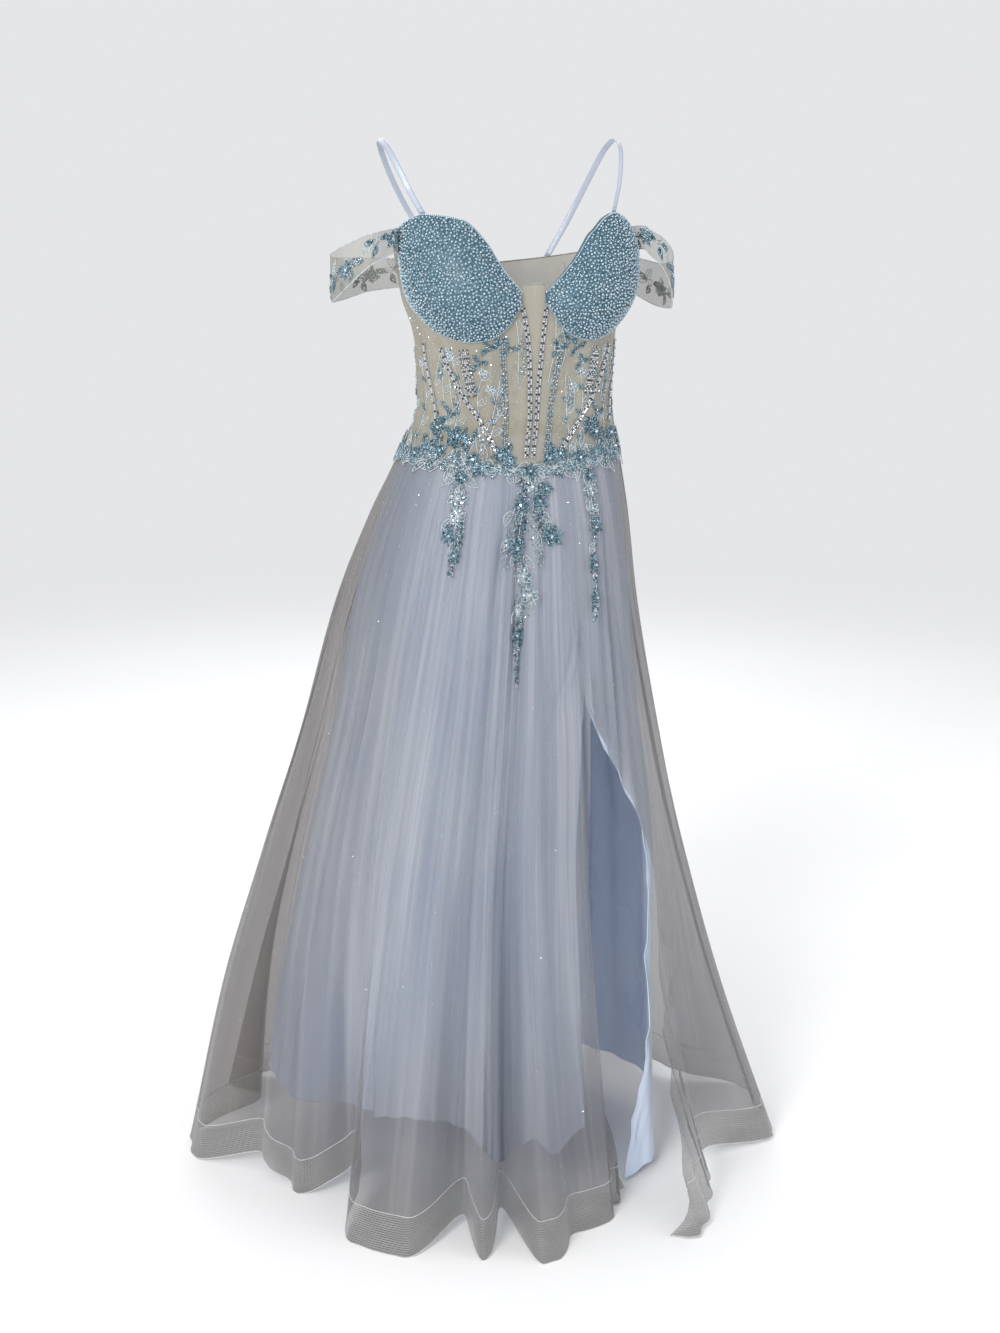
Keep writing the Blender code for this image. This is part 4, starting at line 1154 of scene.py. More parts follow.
def build_cup_beads(name, side, look):
    """A row of pearls round a cup's edge, pearls close together inside it, and seed beads."""
    pile = Pile()
    turns, heights = cup_outline(side, 1.6 * MM)
    path, path_out = lifted(cup_radius, turns, heights, 0.8 * MM)
    edge_places, _, _ = stations(path, path_out, EDGE_PEARL_GAP)
    bead_row(pile, path, path_out, EDGE_PEARL_GAP, PEARL, EDGE_PEARL_RADIUS, (0,))

    share, up = rng.uniform(0, 1, (2, CUP_BEAD_TRIES))
    turn = side * (CUP_INNER + 1.5 + (CUP_OUTER - CUP_INNER - 3.0) * share)
    low, high = cup_low(turn), cup_top(turn)
    height = low + 3 * MM + (high - low - 6 * MM) * up
    points = on_surface(cup_radius, turn, height)
    large = spaced(points, PEARL_GAP, edge_places, 2.9 * MM)
    taken = np.concatenate((points[large], edge_places))
    from_last = spaced(points[::-1], 1.9 * MM, taken, 2.3 * MM)
    small = [len(points) - 1 - number for number in from_last]
    for chosen, shape, size, slots in (
        (large, PEARL, PEARL_RADIUS, (0,)),
        (small, SEED, SEED_RADIUS, (1, 1, 1, 0, 2)),
    ):
        places, axes = seated(cup_radius, turn[chosen], height[chosen], 0.7 * size)
        sizes = size * rng.uniform(0.88, 1.1, (len(chosen), 1)) * np.ones(3)
        for k, slot in enumerate(slots):
            part = slice(k, None, len(slots))
            pile.copies(shape, places[part], axes[part], sizes[part], slot)
    looks = [look["pearl"], look["seed"], look["bright"]]
    pile.build(f"cup_pearls_{name}", looks, "beaded_cloth")


# Each bone: its column, its heights, the shift in turn of the two beside the centre front, its
# casing's half width, and its rows of stones as distances aside.
BONE_STYLES = (
    ("centre", -0.200, -0.388, 1.2, 3.0 * MM, (-1.6 * MM, 1.6 * MM)),
    ("slant", -0.252, -0.380, 0.0, 3.0 * MM, (-1.6 * MM, 1.6 * MM)),
    ("short", -0.252, -0.312, 0.0, 3.0 * MM, (-5.6 * MM, -2.8 * MM, 0.0, 2.8 * MM, 5.6 * MM)),
    ("side", -0.248, -0.350, 0.0, 2.2 * MM, (0.0,)),
)


def stone_slots(number, rows):
    """The materials that a row's stones take in turn: 1 bright, 2 dark, 3 teal."""
    if rows == 5 and number in (0, 4):
        return (3, 1)
    return (1, 2, 1) if number % 2 else (2, 1, 1, 1)


def build_bones(look):
    """Boning casings with rows of cut stones on them."""
    looks = [look["casing"], look["bright"], look["dark"], look["sequin"]]
    for (name, side), style in product(SIDES, BONE_STYLES):
        column, top, bottom, shift, half_width, rows = style
        height = np.linspace(top, bottom, 60)
        turn = side * (BONES[column](height) + shift)
        path, out = lifted(bodice_radius, turn, height, 0.9 * MM)
        aside = np.cross(unit(np.gradient(path, axis=0)), out) * half_width
        outer = np.stack((path - aside, path + out * 0.5 * MM, path + aside), 1)
        pile = Pile()
        pile.strip(outer, outer - out[:, None] * 0.9 * MM, 0)
        stone = 1.4 * MM if len(rows) < 5 else 1.2 * MM
        raised = path + out * 1.1 * MM
        for number, distance in enumerate(rows):
            slots = stone_slots(number, len(rows))
            bead_row(pile, raised, out, STONE_GAP, STONE, stone, slots, distance, 0.12)
        node = f"{column}_bone_{name}"
        pile.build(f"stones_{column}_{name}", looks, "crystal_trim", [node], (1, 2))


# --- Motifs ---


def ground_on(radius, turn, height, lift):
    """The cloth round a place: from metres across and up to points and directions outward."""
    reach = radius(np.asarray(float(turn)), np.asarray(float(height)))

    def ground(x, y, more=0.0):
        x, y = np.broadcast_arrays(np.asarray(x, float), np.asarray(y, float))
        return lifted(radius, turn + np.degrees(x / reach), height + y, lift + more)

    return ground


def turned(x, y, angle):
    """Local metres, with the motif's own up turned clockwise by an angle in degrees."""
    a = math.radians(angle)
    return x * math.cos(a) + y * math.sin(a), y * math.cos(a) - x * math.sin(a)


def leaf_sides(length, width):
    """The two edges and the middle of a pointed, slightly bent leaf, and the heights along it."""
    t = np.linspace(0, 1, 11)
    half = 0.5 * width * np.sin(np.pi * t**0.85)
    bend = 0.10 * length * np.sin(np.pi * t)
    return bend - half, bend + half, bend, t * length


def corded_leaf(pile, ground, angle, length, width, veins=3, start=(0.0, 0.0)):
    """A leaf outlined in cord, with a middle vein and side veins."""
    left, right, middle, up = leaf_sides(length, width)

    def lay(x, y, radius, **settings):
        x, y = turned(x, y, angle)
        pile.tube(*ground(x + start[0], y + start[1]), radius, CORD, **settings)

    edge = (np.concatenate((left, right[-2:0:-1])), np.concatenate((up, up[-2:0:-1])))
    lay(*edge, CORD_RADIUS, closed=True)
    if veins:
        lay(middle[:-2], up[:-2], VEIN_RADIUS, sides=3)
    for at in range(3, 3 + 2 * veins, 2):
        reach = 0.7 * (right[at] - middle[at])
        for way in (-1, 1):
            x = np.array([middle[at], middle[at] + way * reach])
            y = np.array([up[at], up[at] + 0.8 * abs(reach)])
            lay(x, y, VEIN_RADIUS, sides=3)


def beaded_leaf(pile, ground, angle, length, width, fill, start=(0.0, 0.0)):
    """A leaf edged with seed beads and filled with sequins."""
    left, right, middle, up = leaf_sides(length, width)

    def place(x, y, lift):
        x, y = turned(x, y, angle)
        return ground(x + start[0], y + start[1], lift)

    for edge in (left, right):
        bead_row(pile, *place(edge, up, 0.5 * MM), 1.9 * MM, SEED, SEED_RADIUS, (SEEDS,))
    rows = max(int(length / (2.6 * MM)) - 1, 1)
    spots = []
    for row in range(rows):
        y = (row + 1.0) / (rows + 1) * length
        half = np.interp(y, up, right - middle) - 1.2 * MM
        count = max(int(round(2 * half / (2.8 * MM))) + 1, 1) if half > 0 else 1
        spread = np.linspace(-half, half, count) if count > 1 else np.zeros(1)
        spots += [(np.interp(y, up, middle) + x, y) for x in spread]
    places, out = place(*np.array(spots).T, 0.4 * MM)
    pile.copies(SEQUIN, places, turned_axes(out, UP, tilt=0.28), 1.55 * MM, fill)


def flower(pile, ground, size, petals, add_petal, lift, bezel, start=(0.0, 0.0)):
    """Petals, each added by its angle, round a cut stone."""
    spin = rng.uniform(0, 60)
    for k in range(petals):
        add_petal(spin + 360 * k / petals)
    places, out = ground([start[0]], [start[1]], lift)
    pile.copies(STONE, places, turned_axes(out, UP), 0.16 * size + bezel, GEM)


def corded_flower(pile, ground, size, petals):
    """Corded petals, each with a sequin in it."""

    def add_petal(angle):
        corded_leaf(pile, ground, angle, size, 0.55 * size, veins=0)
        x, y = turned(0.0, 0.6 * size, angle)
        places, out = ground([x], [y], 0.4 * MM)
        axes = turned_axes(out, UP, -math.radians(angle), 0.1)
        pile.copies(SEQUIN, places, axes, (0.17 * size, 0.28 * size, 1.4 * MM), SILVER)

    flower(pile, ground, size, petals, add_petal, 0.8 * MM, 0.4 * MM)


def beaded_flower(pile, ground, size, start=(0.0, 0.0)):
    """Six petals edged with seed beads and filled with sequins."""

    def add_petal(angle):
        x, y = turned(0.0, 0.15 * size, angle)
        foot = (start[0] + x, start[1] + y)
        beaded_leaf(pile, ground, angle, size, 0.52 * size, TEAL, foot)

    flower(pile, ground, size, 6, add_petal, 1.2 * MM, 0.6 * MM, start)


def strew(pile, places, out, mix, gap):
    """Beads of a mix at those of the places that lie a gap apart."""
    kept = spaced(places, gap)
    places, out = places[kept], out[kept]
    choice = rng.choice(len(mix), len(kept), p=[share for _, _, share, _ in mix])
    spin = rng.uniform(0, 2 * np.pi, len(kept))
    axes = turned_axes(out, UP, spin, 0.3)
    sizes = rng.uniform(0.8, 1.15, (len(kept), 1)) * np.ones(3)
    for number, (shape, slot, _, size) in enumerate(mix):
        part = choice == number
        if part.any():
            pile.copies(shape, places[part], axes[part], size * sizes[part], slot)


ROUTE_STEPS = 60


def strew_route(pile, radius, rows, mix, gap, lift):
    """Strewn beads along a route of turns, heights and half widths in millimetres."""
    turn, height, half = smooth_route(rows, ROUTE_STEPS)
    path, out = lifted(radius, turn, height, 0.0)
    aside = unit(np.cross(np.gradient(path, axis=0), out))
    run = np.linalg.norm(np.diff(path, axis=0), axis=1).sum()
    count = int(12 * run * half.mean() * MM / gap**2) + 20
    at = rng.uniform(0, ROUTE_STEPS - 1, count)

    def read(values):
        return np.interp(at, np.arange(ROUTE_STEPS), values)

    ragged = 0.8 + 0.25 * np.sin(0.9 * at + rng.uniform(0, 6))
    offset = rng.uniform(-1, 1, count) * read(half) * MM * ragged
    angle = np.radians(read(turn))
    level = (read(aside[:, 0]) * np.cos(angle) + read(aside[:, 1]) * np.sin(angle)) * offset
    turns = read(turn) + np.degrees(level / radius(read(turn), read(height)))
    heights = read(height) + read(aside[:, 2]) * offset
    strew(pile, *lifted(radius, turns, heights, lift), mix, gap)


def strew_patch(pile, ground, reach, mix, gap, start=(0.0, 0.0)):
    """Strewn beads in an uneven oval, with its half width and half height."""
    count = int(14 * reach[0] * reach[1] / gap**2) + 20
    angle = rng.uniform(0, 2 * np.pi, count)
    share = np.sqrt(rng.uniform(0, 1, count))
    share = share * (0.82 + 0.18 * np.sin(5 * angle + rng.uniform(0, 6)))
    x = start[0] + reach[0] * share * np.sin(angle)
    y = start[1] + reach[1] * share * np.cos(angle)
    strew(pile, *ground(x, y, 0.6 * MM), mix, gap)


def teal_cluster(pile, ground, reach, gap, leaf, offset, angles=None):
    """A patch of teal beads with three beaded leaves that start off its middle."""
    strew_patch(pile, ground, reach, TEAL_MIX, gap)
    if angles is None:
        angles = rng.uniform(-180, 180, 3)
    for angle in angles:
        beaded_leaf(pile, ground, angle, *leaf, TEAL, turned(0.0, offset, angle))


# Slots of the lace pieces' materials.
CORD, SEEDS, TEAL, SILVER, GEM, SHADE = range(6)
# Mixes of beads: shape, slot, share and size.
TEAL_MIX = (
    (SEQUIN, TEAL, 0.36, 1.7 * MM),
    (PEARL, SEEDS, 0.24, 1.15 * MM),
    (SEQUIN, SILVER, 0.12, 1.4 * MM),
    (STONE, GEM, 0.15, 1.1 * MM),
    (PEARL, SHADE, 0.13, 1.1 * MM),
)
SILVER_MIX = (
    (SEED, SILVER, 0.40, 1.0 * MM),
    (SEQUIN, SILVER, 0.16, 1.4 * MM),
    (SEED, SEEDS, 0.22, 1.0 * MM),
    (STONE, GEM, 0.16, 1.0 * MM),
    (SEED, SHADE, 0.06, 0.9 * MM),
)


def build_lace(pile, name, look, replaced=()):
    keys = ("cord", "seed", "sequin", "silver", "bright", "shade")
    return pile.build(name, [look[key] for key in keys], "beaded_lace", replaced, (GEM,))


STEM_ROUTES = (
    ((-22.5, -0.240), (-21.6, -0.290), (-20.6, -0.340), (-17.6, -0.388)),
    ((19.0, -0.246), (16.4, -0.290), (13.4, -0.335), (12.6, -0.388)),
)
# Each stem's rows of beads: lift, distance aside and spacing in millimetres, shape, radius in
# millimetres, and slots.
STEM_ROWS = (
    (0.9, -2.7, 2.4, PEARL, 1.15, (SEEDS, SILVER, SEEDS, GEM)),
    (0.9, 2.7, 2.4, PEARL, 1.15, (SEEDS, SILVER, SEEDS, GEM)),
    (1.0, 0.0, 2.3, STONE, 1.1, (GEM, SEEDS, SILVER)),
)
# Clusters of teal beads on the bodice: turn, height, half width and half height in millimetres.
BODICE_CLUSTERS = (
    (-31.5, -0.250, 3.5, 4.5), (-25.0, -0.242, 4.0, 4.5), (-17.5, -0.252, 4.5, 4.0),
    (-38.0, -0.270, 2.5, 4.0), (-66.0, -0.343, 4.5, 6.0), (-58.5, -0.336, 4.0, 7.0),
    (17.5, -0.252, 4.5, 5.0), (24.5, -0.243, 3.5, 4.0), (31.5, -0.251, 4.5, 3.5),
    (36.5, -0.270, 2.5, 4.0), (54.0, -0.338, 4.0, 6.0), (47.0, -0.352, 4.5, 5.5),
    (70.0, -0.342, 3.5, 5.0),
)
# Corded leaves on the bodice: turn, height, angle, length and width in millimetres.
BODICE_LEAVES = (
    (-11.5, -0.300, -2.0, 92.0, 15.0), (11.0, -0.300, 4.0, 92.0, 15.0),
    (-30.0, -0.345, 10.0, 58.0, 13.0), (28.5, -0.340, -8.0, 58.0, 13.0),
    (-33.0, -0.385, -24.0, 36.0, 11.0), (33.0, -0.385, 24.0, 36.0, 11.0),
    (-56.0, -0.330, -6.0, 52.0, 13.0), (58.0, -0.325, 8.0, 52.0, 13.0),
    (-68.0, -0.300, 14.0, 46.0, 12.0), (70.0, -0.300, -10.0, 46.0, 12.0),
    (-62.0, -0.375, -40.0, 30.0, 11.0), (62.0, -0.375, 40.0, 30.0, 11.0),
)
# Vines that climb the bodice on both sides: turn at the foot, lean in degrees, and height.
VINES = (
    (26.0, 4.0, 0.080), (41.0, -4.0, 0.100), (50.0, 5.0, 0.120), (64.0, -5.0, 0.125),
    (76.0, 4.0, 0.110), (90.0, 6.0, 0.085), (104.0, -5.0, 0.120), (119.0, 6.0, 0.100),
    (136.0, -6.0, 0.125), (153.0, 5.0, 0.100), (168.0, -3.0, 0.110),
)


def build_embroidery(look):
    """Beaded stems, clusters and corded leaves on the front of the bodice, and vines round it."""
    pile = Pile()
    add_stems(pile)
    for turn, height, wide, tall in BODICE_CLUSTERS:
        ground = ground_on(bodice_radius, turn, height, 0.2 * MM)
        reach, leaf = (wide * MM, tall * MM), (11 * MM, 6 * MM)
        teal_cluster(pile, ground, reach, 2.0 * MM, leaf, 0.8 * wide * MM, (-140, -35, 70))
    for leaf in BODICE_LEAVES:
        add_bodice_leaf(pile, *leaf)
    for (_, side), vine in product(SIDES, VINES):
        add_vine(pile, side, *vine)
    add_bodice_stones(pile)
    build_lace(pile, "bodice_embroidery", look)


def add_stems(pile):
    for route, row in product(STEM_ROUTES, STEM_ROWS):
        lift, distance, spacing, shape, size, slots = row
        turn, height = smooth_route(route, ROUTE_STEPS)
        path, out = lifted(bodice_radius, turn, height, lift * MM)
        bead_row(pile, path, out, spacing * MM, shape, size * MM, slots, distance * MM)


def add_bodice_leaf(pile, turn, height, angle, length, width):
    """A corded leaf with silver beads strewn along its middle."""
    ground = ground_on(bodice_radius, turn, height, 0.3 * MM)
    corded_leaf(pile, ground, angle, length * MM, width * MM)
    for share in (0.25, 0.45, 0.65):
        bend = 0.1 * length * MM * math.sin(math.pi * share)
        start = turned(bend, share * length * MM, angle)
        reach = (0.32 * width * MM, 0.12 * length * MM)
        strew_patch(pile, ground, reach, SILVER_MIX, 2.4 * MM, start)


def add_vine(pile, side, foot, lean, tall):
    """A corded vine with leaves that climbs the bodice from the waist."""
    steps = np.linspace(0, 1, 26)
    turn = side * (foot + lean * np.sin(2.2 * steps * np.pi) * 0.5 + lean * steps)
    height = WAIST_SEAM + 0.004 + tall * steps
    pile.tube(*lifted(bodice_radius, turn, height, 0.3 * MM), CORD_RADIUS, CORD)
    for k in range(3, 25, 4):
        ground = ground_on(bodice_radius, turn[k], height[k], 0.3 * MM)
        if k % 8 == 3:
            beaded_leaf(pile, ground, -48, 11 * MM, 5 * MM, SILVER)
        else:
            corded_leaf(pile, ground, 48, 16 * MM, 7 * MM, veins=2)
    ground = ground_on(bodice_radius, turn[-1], height[-1], 0.3 * MM)
    corded_flower(pile, ground, 7 * MM, petals=5)


BODICE_STONE_TRIES = 2600
BODICE_STONE_GAP = 6.0 * MM


def add_bodice_stones(pile):
    """Single small stones all round the net."""
    turn = rng.uniform(-176, 176, BODICE_STONE_TRIES)
    place = np.abs(turn)
    low = seam_height(turn) + 0.012
    top = np.where(place < SIDE_SEAM, CUP["low"](place), BACK_TOP["height"](place))
    high = top - 0.008
    height = low + (high - low) * rng.uniform(0, 1, len(turn))
    free = (place > 9) & (high > low)
    turn, height = turn[free], height[free]
    chosen = spaced(on_surface(bodice_radius, turn, height), BODICE_STONE_GAP)
    places, axes = seated(bodice_radius, turn[chosen], height[chosen], 0.5 * MM, 0.2)
    pile.copies(STONE, places, axes, 0.8 * MM, GEM)


# Clusters on the waist: turn, height, half width and half height in millimetres.
WAIST_CLUSTERS = (
    (-17.0, -0.387, 11.5, 8.0), (18.0, -0.386, 10.5, 7.5), (-54.0, -0.357, 9.0, 5.0),
    (-47.0, -0.381, 5.5, 7.0), (-61.5, -0.366, 6.0, 5.5), (-42.0, -0.368, 4.5, 4.5),
    (-69.5, -0.377, 5.5, 5.0), (-32.5, -0.396, 4.0, 4.5), (47.5, -0.357, 5.5, 5.5),
    (55.5, -0.372, 7.5, 8.0), (47.0, -0.390, 3.5, 6.0), (60.5, -0.388, 5.0, 5.0),
    (34.0, -0.394, 4.0, 4.0), (74.0, -0.374, 4.5, 5.0),
)
BACK_WAIST_CLUSTERS = tuple((turn, -0.382, 4.5, 5.5) for turn in range(85, 165, 13))
# Flowers on the waist: turn, height and size in millimetres.
WAIST_FLOWERS = (
    (-50.0, -0.361, 12), (-64.5, -0.352, 9), (-58.0, -0.380, 8), (-20.5, -0.384, 10),
    (-13.5, -0.391, 8), (14.5, -0.389, 9), (22.0, -0.384, 9), (51.0, -0.361, 11),
    (66.0, -0.366, 9), (-37.0, -0.389, 8), (37.0, -0.391, 8), (-73.0, -0.386, 8),
    (76.0, -0.386, 8), (1.0, -0.404, 9),
)
BACK_WAIST_FLOWERS = tuple((turn, -0.378, 9) for turn in range(92, 172, 13))


WAIST_LIFT = 1.2 * MM
WAIST_SCROLLS = ((0.0, 4.0 * MM), (2.4, 7.5 * MM))  # the phase of each and its swing
WAIST_LEAF_STEP = 4.6  # degrees from leaf to leaf
RISING_LEAVES_FROM = 27.0  # degrees off the front centre
WAIST_LEAVES_END = 168.0


def build_waist_band(name, start, end, clusters, flowers, look):
    """Scrolls and leaves of cord round the waist, beads between them, and teal clusters."""
    pile = Pile()
    turn = np.linspace(start, end, int((end - start) * 1.6))
    for phase, swing in WAIST_SCROLLS:
        height = seam_height(turn) - 0.003 + swing * np.sin(np.radians(turn * 17) + phase)
        pile.tube(*lifted(gown_radius, turn, height, WAIST_LIFT), CORD_RADIUS, CORD)
    rows = []
    for at in np.linspace(start + 1, end - 1, 24):
        half_width = 8.0 + 4.0 * min(abs(at) / 60, 1)
        rows.append((at, float(seam_height(at)) - 0.004, half_width))
    strew_route(pile, gown_radius, rows, SILVER_MIX, 2.9 * MM, 1.4 * MM)
    feet = np.arange(start + 2.0, end - 1.0, WAIST_LEAF_STEP)
    for number, at in enumerate(feet[np.abs(feet) < WAIST_LEAVES_END]):
        ground = ground_on(gown_radius, at, float(seam_height(at)) - 0.004, WAIST_LIFT)
        add_waist_leaves(pile, ground, 1 if number % 2 else -1, abs(at) > RISING_LEAVES_FROM)
    for at, height, wide, tall in clusters:
        ground = ground_on(gown_radius, at, height, WAIST_LIFT)
        reach, leaf = (wide * MM, tall * MM), (13 * MM, 6.5 * MM)
        teal_cluster(pile, ground, reach, 2.1 * MM, leaf, 0.8 * tall * MM)
    for at, height, size in flowers:
        ground = ground_on(gown_radius, at, height, WAIST_LIFT + 0.8 * MM)
        beaded_flower(pile, ground, size * MM)
    build_lace(pile, f"lace_{name}", look, [name])


def add_waist_leaves(pile, ground, way, rising):
    """A corded and a beaded leaf that hang from the waist, and two more that rise from it."""
    leaf = rng.uniform(15, 29) * MM
    corded_leaf(pile, ground, 180 + way * rng.uniform(15, 85), leaf, 0.34 * leaf, 4)
    start = turned(0.0, 3 * MM, rng.uniform(-180, 180))
    angle = 180 - way * rng.uniform(20, 80)
    beaded_leaf(pile, ground, angle, 0.55 * leaf, 0.24 * leaf, SILVER, start)
    if rising:
        leaf = rng.uniform(16, 32) * MM
        corded_leaf(pile, ground, way * rng.uniform(-20, 70), leaf, 0.34 * leaf, 4)
        beaded_leaf(pile, ground, rng.uniform(-90, 90), 0.6 * leaf, 0.26 * leaf, SILVER)


# The hanging sprays. Each strewn run of beads is a mix and rows of turn, height and half width in
# millimetres. Flowers are turn, height and size in millimetres, leaves have an angle before it,
# and cords are rows of turn and height.
SPRAYS = {
    "spray_centre": {
        "runs": (
            (
                TEAL_MIX,
                (
                    (-2.5, -0.408, 6), (-3.4, -0.425, 9), (-4.4, -0.446, 10), (-5.5, -0.466, 9),
                    (-6.5, -0.484, 10), (-7.4, -0.502, 8), (-6.4, -0.520, 4),
                ),
            ),
            (
                TEAL_MIX,
                (
                    (2.5, -0.414, 4), (4.5, -0.432, 8), (6.4, -0.452, 10), (8.0, -0.468, 9),
                    (10.5, -0.480, 11), (13.0, -0.487, 9), (15.0, -0.492, 5),
                ),
            ),
            (TEAL_MIX, ((8.0, -0.420, 4), (10.5, -0.425, 7), (13.0, -0.434, 6))),
            (
                SILVER_MIX,
                ((-8.6, -0.440, 4), (-10.0, -0.470, 6), (-12.5, -0.500, 9), (-14.4, -0.526, 6)),
            ),
            (
                SILVER_MIX,
                ((1.0, -0.450, 5), (3.0, -0.480, 8), (5.5, -0.505, 8), (6.5, -0.525, 4)),
            ),
            (
                SILVER_MIX,
                (
                    (-6.0, -0.502, 7), (-4.5, -0.524, 9), (-2.0, -0.545, 12), (-1.0, -0.565, 11),
                    (-2.5, -0.584, 8), (-4.0, -0.596, 6),
                ),
            ),
            (
                SILVER_MIX,
                ((-3.8, -0.558, 5), (-4.8, -0.576, 8), (-4.6, -0.594, 8), (-4.4, -0.606, 5)),
            ),
            (
                TEAL_MIX,
                (
                    (-3.6, -0.590, 4), (-4.0, -0.603, 7), (-4.6, -0.616, 8), (-4.9, -0.630, 5),
                    (-4.8, -0.645, 3.2), (-4.6, -0.660, 2.6), (-4.4, -0.679, 1.5),
                ),
            ),
        ),
        "flowers": ((-3.0, -0.536, 13), (0.6, -0.560, 11), (2.0, -0.424, 9), (-5.0, -0.580, 9)),
        "teal_flowers": (
            (13.6, -0.487, 13), (-5.0, -0.446, 10), (7.0, -0.442, 10), (11.5, -0.427, 8),
            (-5.0, -0.612, 9), (-7.6, -0.500, 10),
        ),
        "leaves": (
            (-5.0, -0.505, 215, 20), (-3.0, -0.508, 140, 22), (-2.5, -0.555, 155, 24),
            (-4.0, -0.578, 215, 20), (-8.5, -0.488, 225, 24), (-10.0, -0.452, 205, 22),
            (4.5, -0.480, 165, 24), (9.5, -0.455, 150, 18), (0.5, -0.402, 130, 24),
            (-1.0, -0.402, 222, 22),
        ),
        "cords": (
            (
                (0.5, -0.396), (-2.0, -0.415), (-4.0, -0.450), (-6.0, -0.490), (-4.0, -0.530),
                (-2.4, -0.570), (-4.4, -0.610), (-4.6, -0.660),
            ),
            ((1.0, -0.398), (5.0, -0.420), (7.0, -0.455), (11.0, -0.482)),
            ((-2.6, -0.565), (-5.0, -0.575), (-8.0, -0.590)),
            ((-2.6, -0.545), (1.0, -0.556), (3.5, -0.572)),
        ),
    },
    "spray_right": {
        "runs": (
            (
                SILVER_MIX,
                ((-43.0, -0.415, 9), (-42.0, -0.436, 11), (-41.0, -0.458, 9), (-40.5, -0.476, 6)),
            ),
            (TEAL_MIX, ((-44.0, -0.468, 4), (-43.4, -0.484, 7), (-42.0, -0.496, 5))),
            (
                TEAL_MIX,
                (
                    (-37.6, -0.466, 3), (-37.6, -0.486, 6), (-38.6, -0.502, 6),
                    (-39.4, -0.518, 6), (-39.8, -0.536, 3),
                ),
            ),
        ),
        "flowers": ((-42.3, -0.437, 13), (-40.6, -0.459, 11)),
        "teal_flowers": ((-43.2, -0.484, 9), (-39.0, -0.508, 7), (-42.0, -0.412, 8)),
        "leaves": (
            (-42.5, -0.462, 210, 21), (-39.5, -0.458, 160, 23), (-39.5, -0.488, 172, 24),
            (-44.0, -0.410, 235, 22), (-40.5, -0.408, 130, 24), (-46.0, -0.405, 200, 20),
        ),
        "cords": (
            ((-43.5, -0.402), (-42.0, -0.430), (-41.0, -0.470), (-39.4, -0.505), (-39.8, -0.534)),
        ),
    },
    "spray_left": {
        "runs": (
            (
                SILVER_MIX,
                (
                    (42.6, -0.412, 9), (42.0, -0.436, 11), (41.4, -0.460, 10), (41.2, -0.484, 9),
                    (41.0, -0.508, 5),
                ),
            ),
            (TEAL_MIX, ((42.4, -0.468, 5), (42.2, -0.484, 6), (41.8, -0.498, 4))),
            (
                TEAL_MIX,
                ((39.4, -0.512, 3), (38.8, -0.526, 6), (39.6, -0.542, 6), (40.0, -0.556, 3)),
            ),
            (
                TEAL_MIX,
                ((39.6, -0.560, 4), (39.0, -0.574, 6), (38.0, -0.590, 5), (37.2, -0.604, 2)),
            ),
        ),
        "flowers": ((42.2, -0.432, 11), (41.4, -0.457, 9)),
        "teal_flowers": (
            (42.2, -0.482, 9), (39.2, -0.530, 8), (39.0, -0.573, 7), (43.0, -0.415, 8),
        ),
        "leaves": (
            (41.6, -0.442, 200, 20), (41.0, -0.468, 165, 18), (40.6, -0.500, 205, 18),
            (39.0, -0.538, 160, 16), (44.0, -0.408, 215, 20), (41.5, -0.406, 145, 22),
        ),
        "cords": (
            (
                (43.0, -0.402), (42.0, -0.440), (41.2, -0.490), (39.2, -0.535), (38.8, -0.575),
                (37.4, -0.602),
            ),
        ),
    },
}


def build_spray(name, parts, look):
    """A hanging spray of strewn beads, corded flowers and leaves on a corded stem."""
    pile = Pile()
    lift = 0.9 * MM
    for route in parts["cords"]:
        path, out = lifted(gown_cloth, *smooth_route(route, 80), lift)
        pile.tube(path, out, CORD_RADIUS, CORD)
    for mix, rows in parts["runs"]:
        gap = 2.0 * MM if mix is TEAL_MIX else 2.4 * MM
        strew_route(pile, gown_cloth, rows, mix, gap, 1.2 * MM)
    for turn, height, size in parts["flowers"]:
        corded_flower(pile, ground_on(gown_cloth, turn, height, 1.4 * MM), size * MM, 7)
    for turn, height, size in parts["teal_flowers"]:
        beaded_flower(pile, ground_on(gown_cloth, turn, height, 1.8 * MM), size * MM)
    for turn, height, angle, length in parts["leaves"]:
        ground = ground_on(gown_cloth, turn, height, lift)
        corded_leaf(pile, ground, angle, length * MM, 0.42 * length * MM)
    build_lace(pile, f"lace_{name}", look, [name])


# --- Sleeves and straps ---


SLEEVE = curves(
    "way out back top bottom",
    (
        (0.00, 0.161, -0.040, -0.105, -0.134),
        (0.22, 0.196, -0.053, -0.111, -0.148),
        (0.50, 0.238, 0.000, -0.137, -0.197),
        (0.75, 0.224, 0.047, -0.145, -0.200),
        (1.00, 0.178, 0.076, -0.147, -0.190),
    ),
)
SLEEVE_MIDDLE = 0.020
SLEEVE_ROOT = 0.150
SLEEVE_FRONT_END = ((86.0, -0.113, -0.139), (82.0, -0.109, -0.136))
SLEEVE_BACK_END = ((113.0, -0.148, -0.182), (120.0, -0.149, -0.180))
SLEEVE_SHAPE = {"right": (0.238, 0.0), "left": (0.211, 0.016)}
SLEEVE_LIFT = 0.7 * MM
SLEEVE_COLUMNS = 97
SLEEVE_ROWS = 9
SLEEVE_COLUMN_WIDTH = 2.8 * MM  # of cloth, for the material's coordinates
SLEEVE_MOTIFS = (0.10, 0.21, 0.32, 0.43, 0.54, 0.65, 0.76, 0.87)  # shares of its length


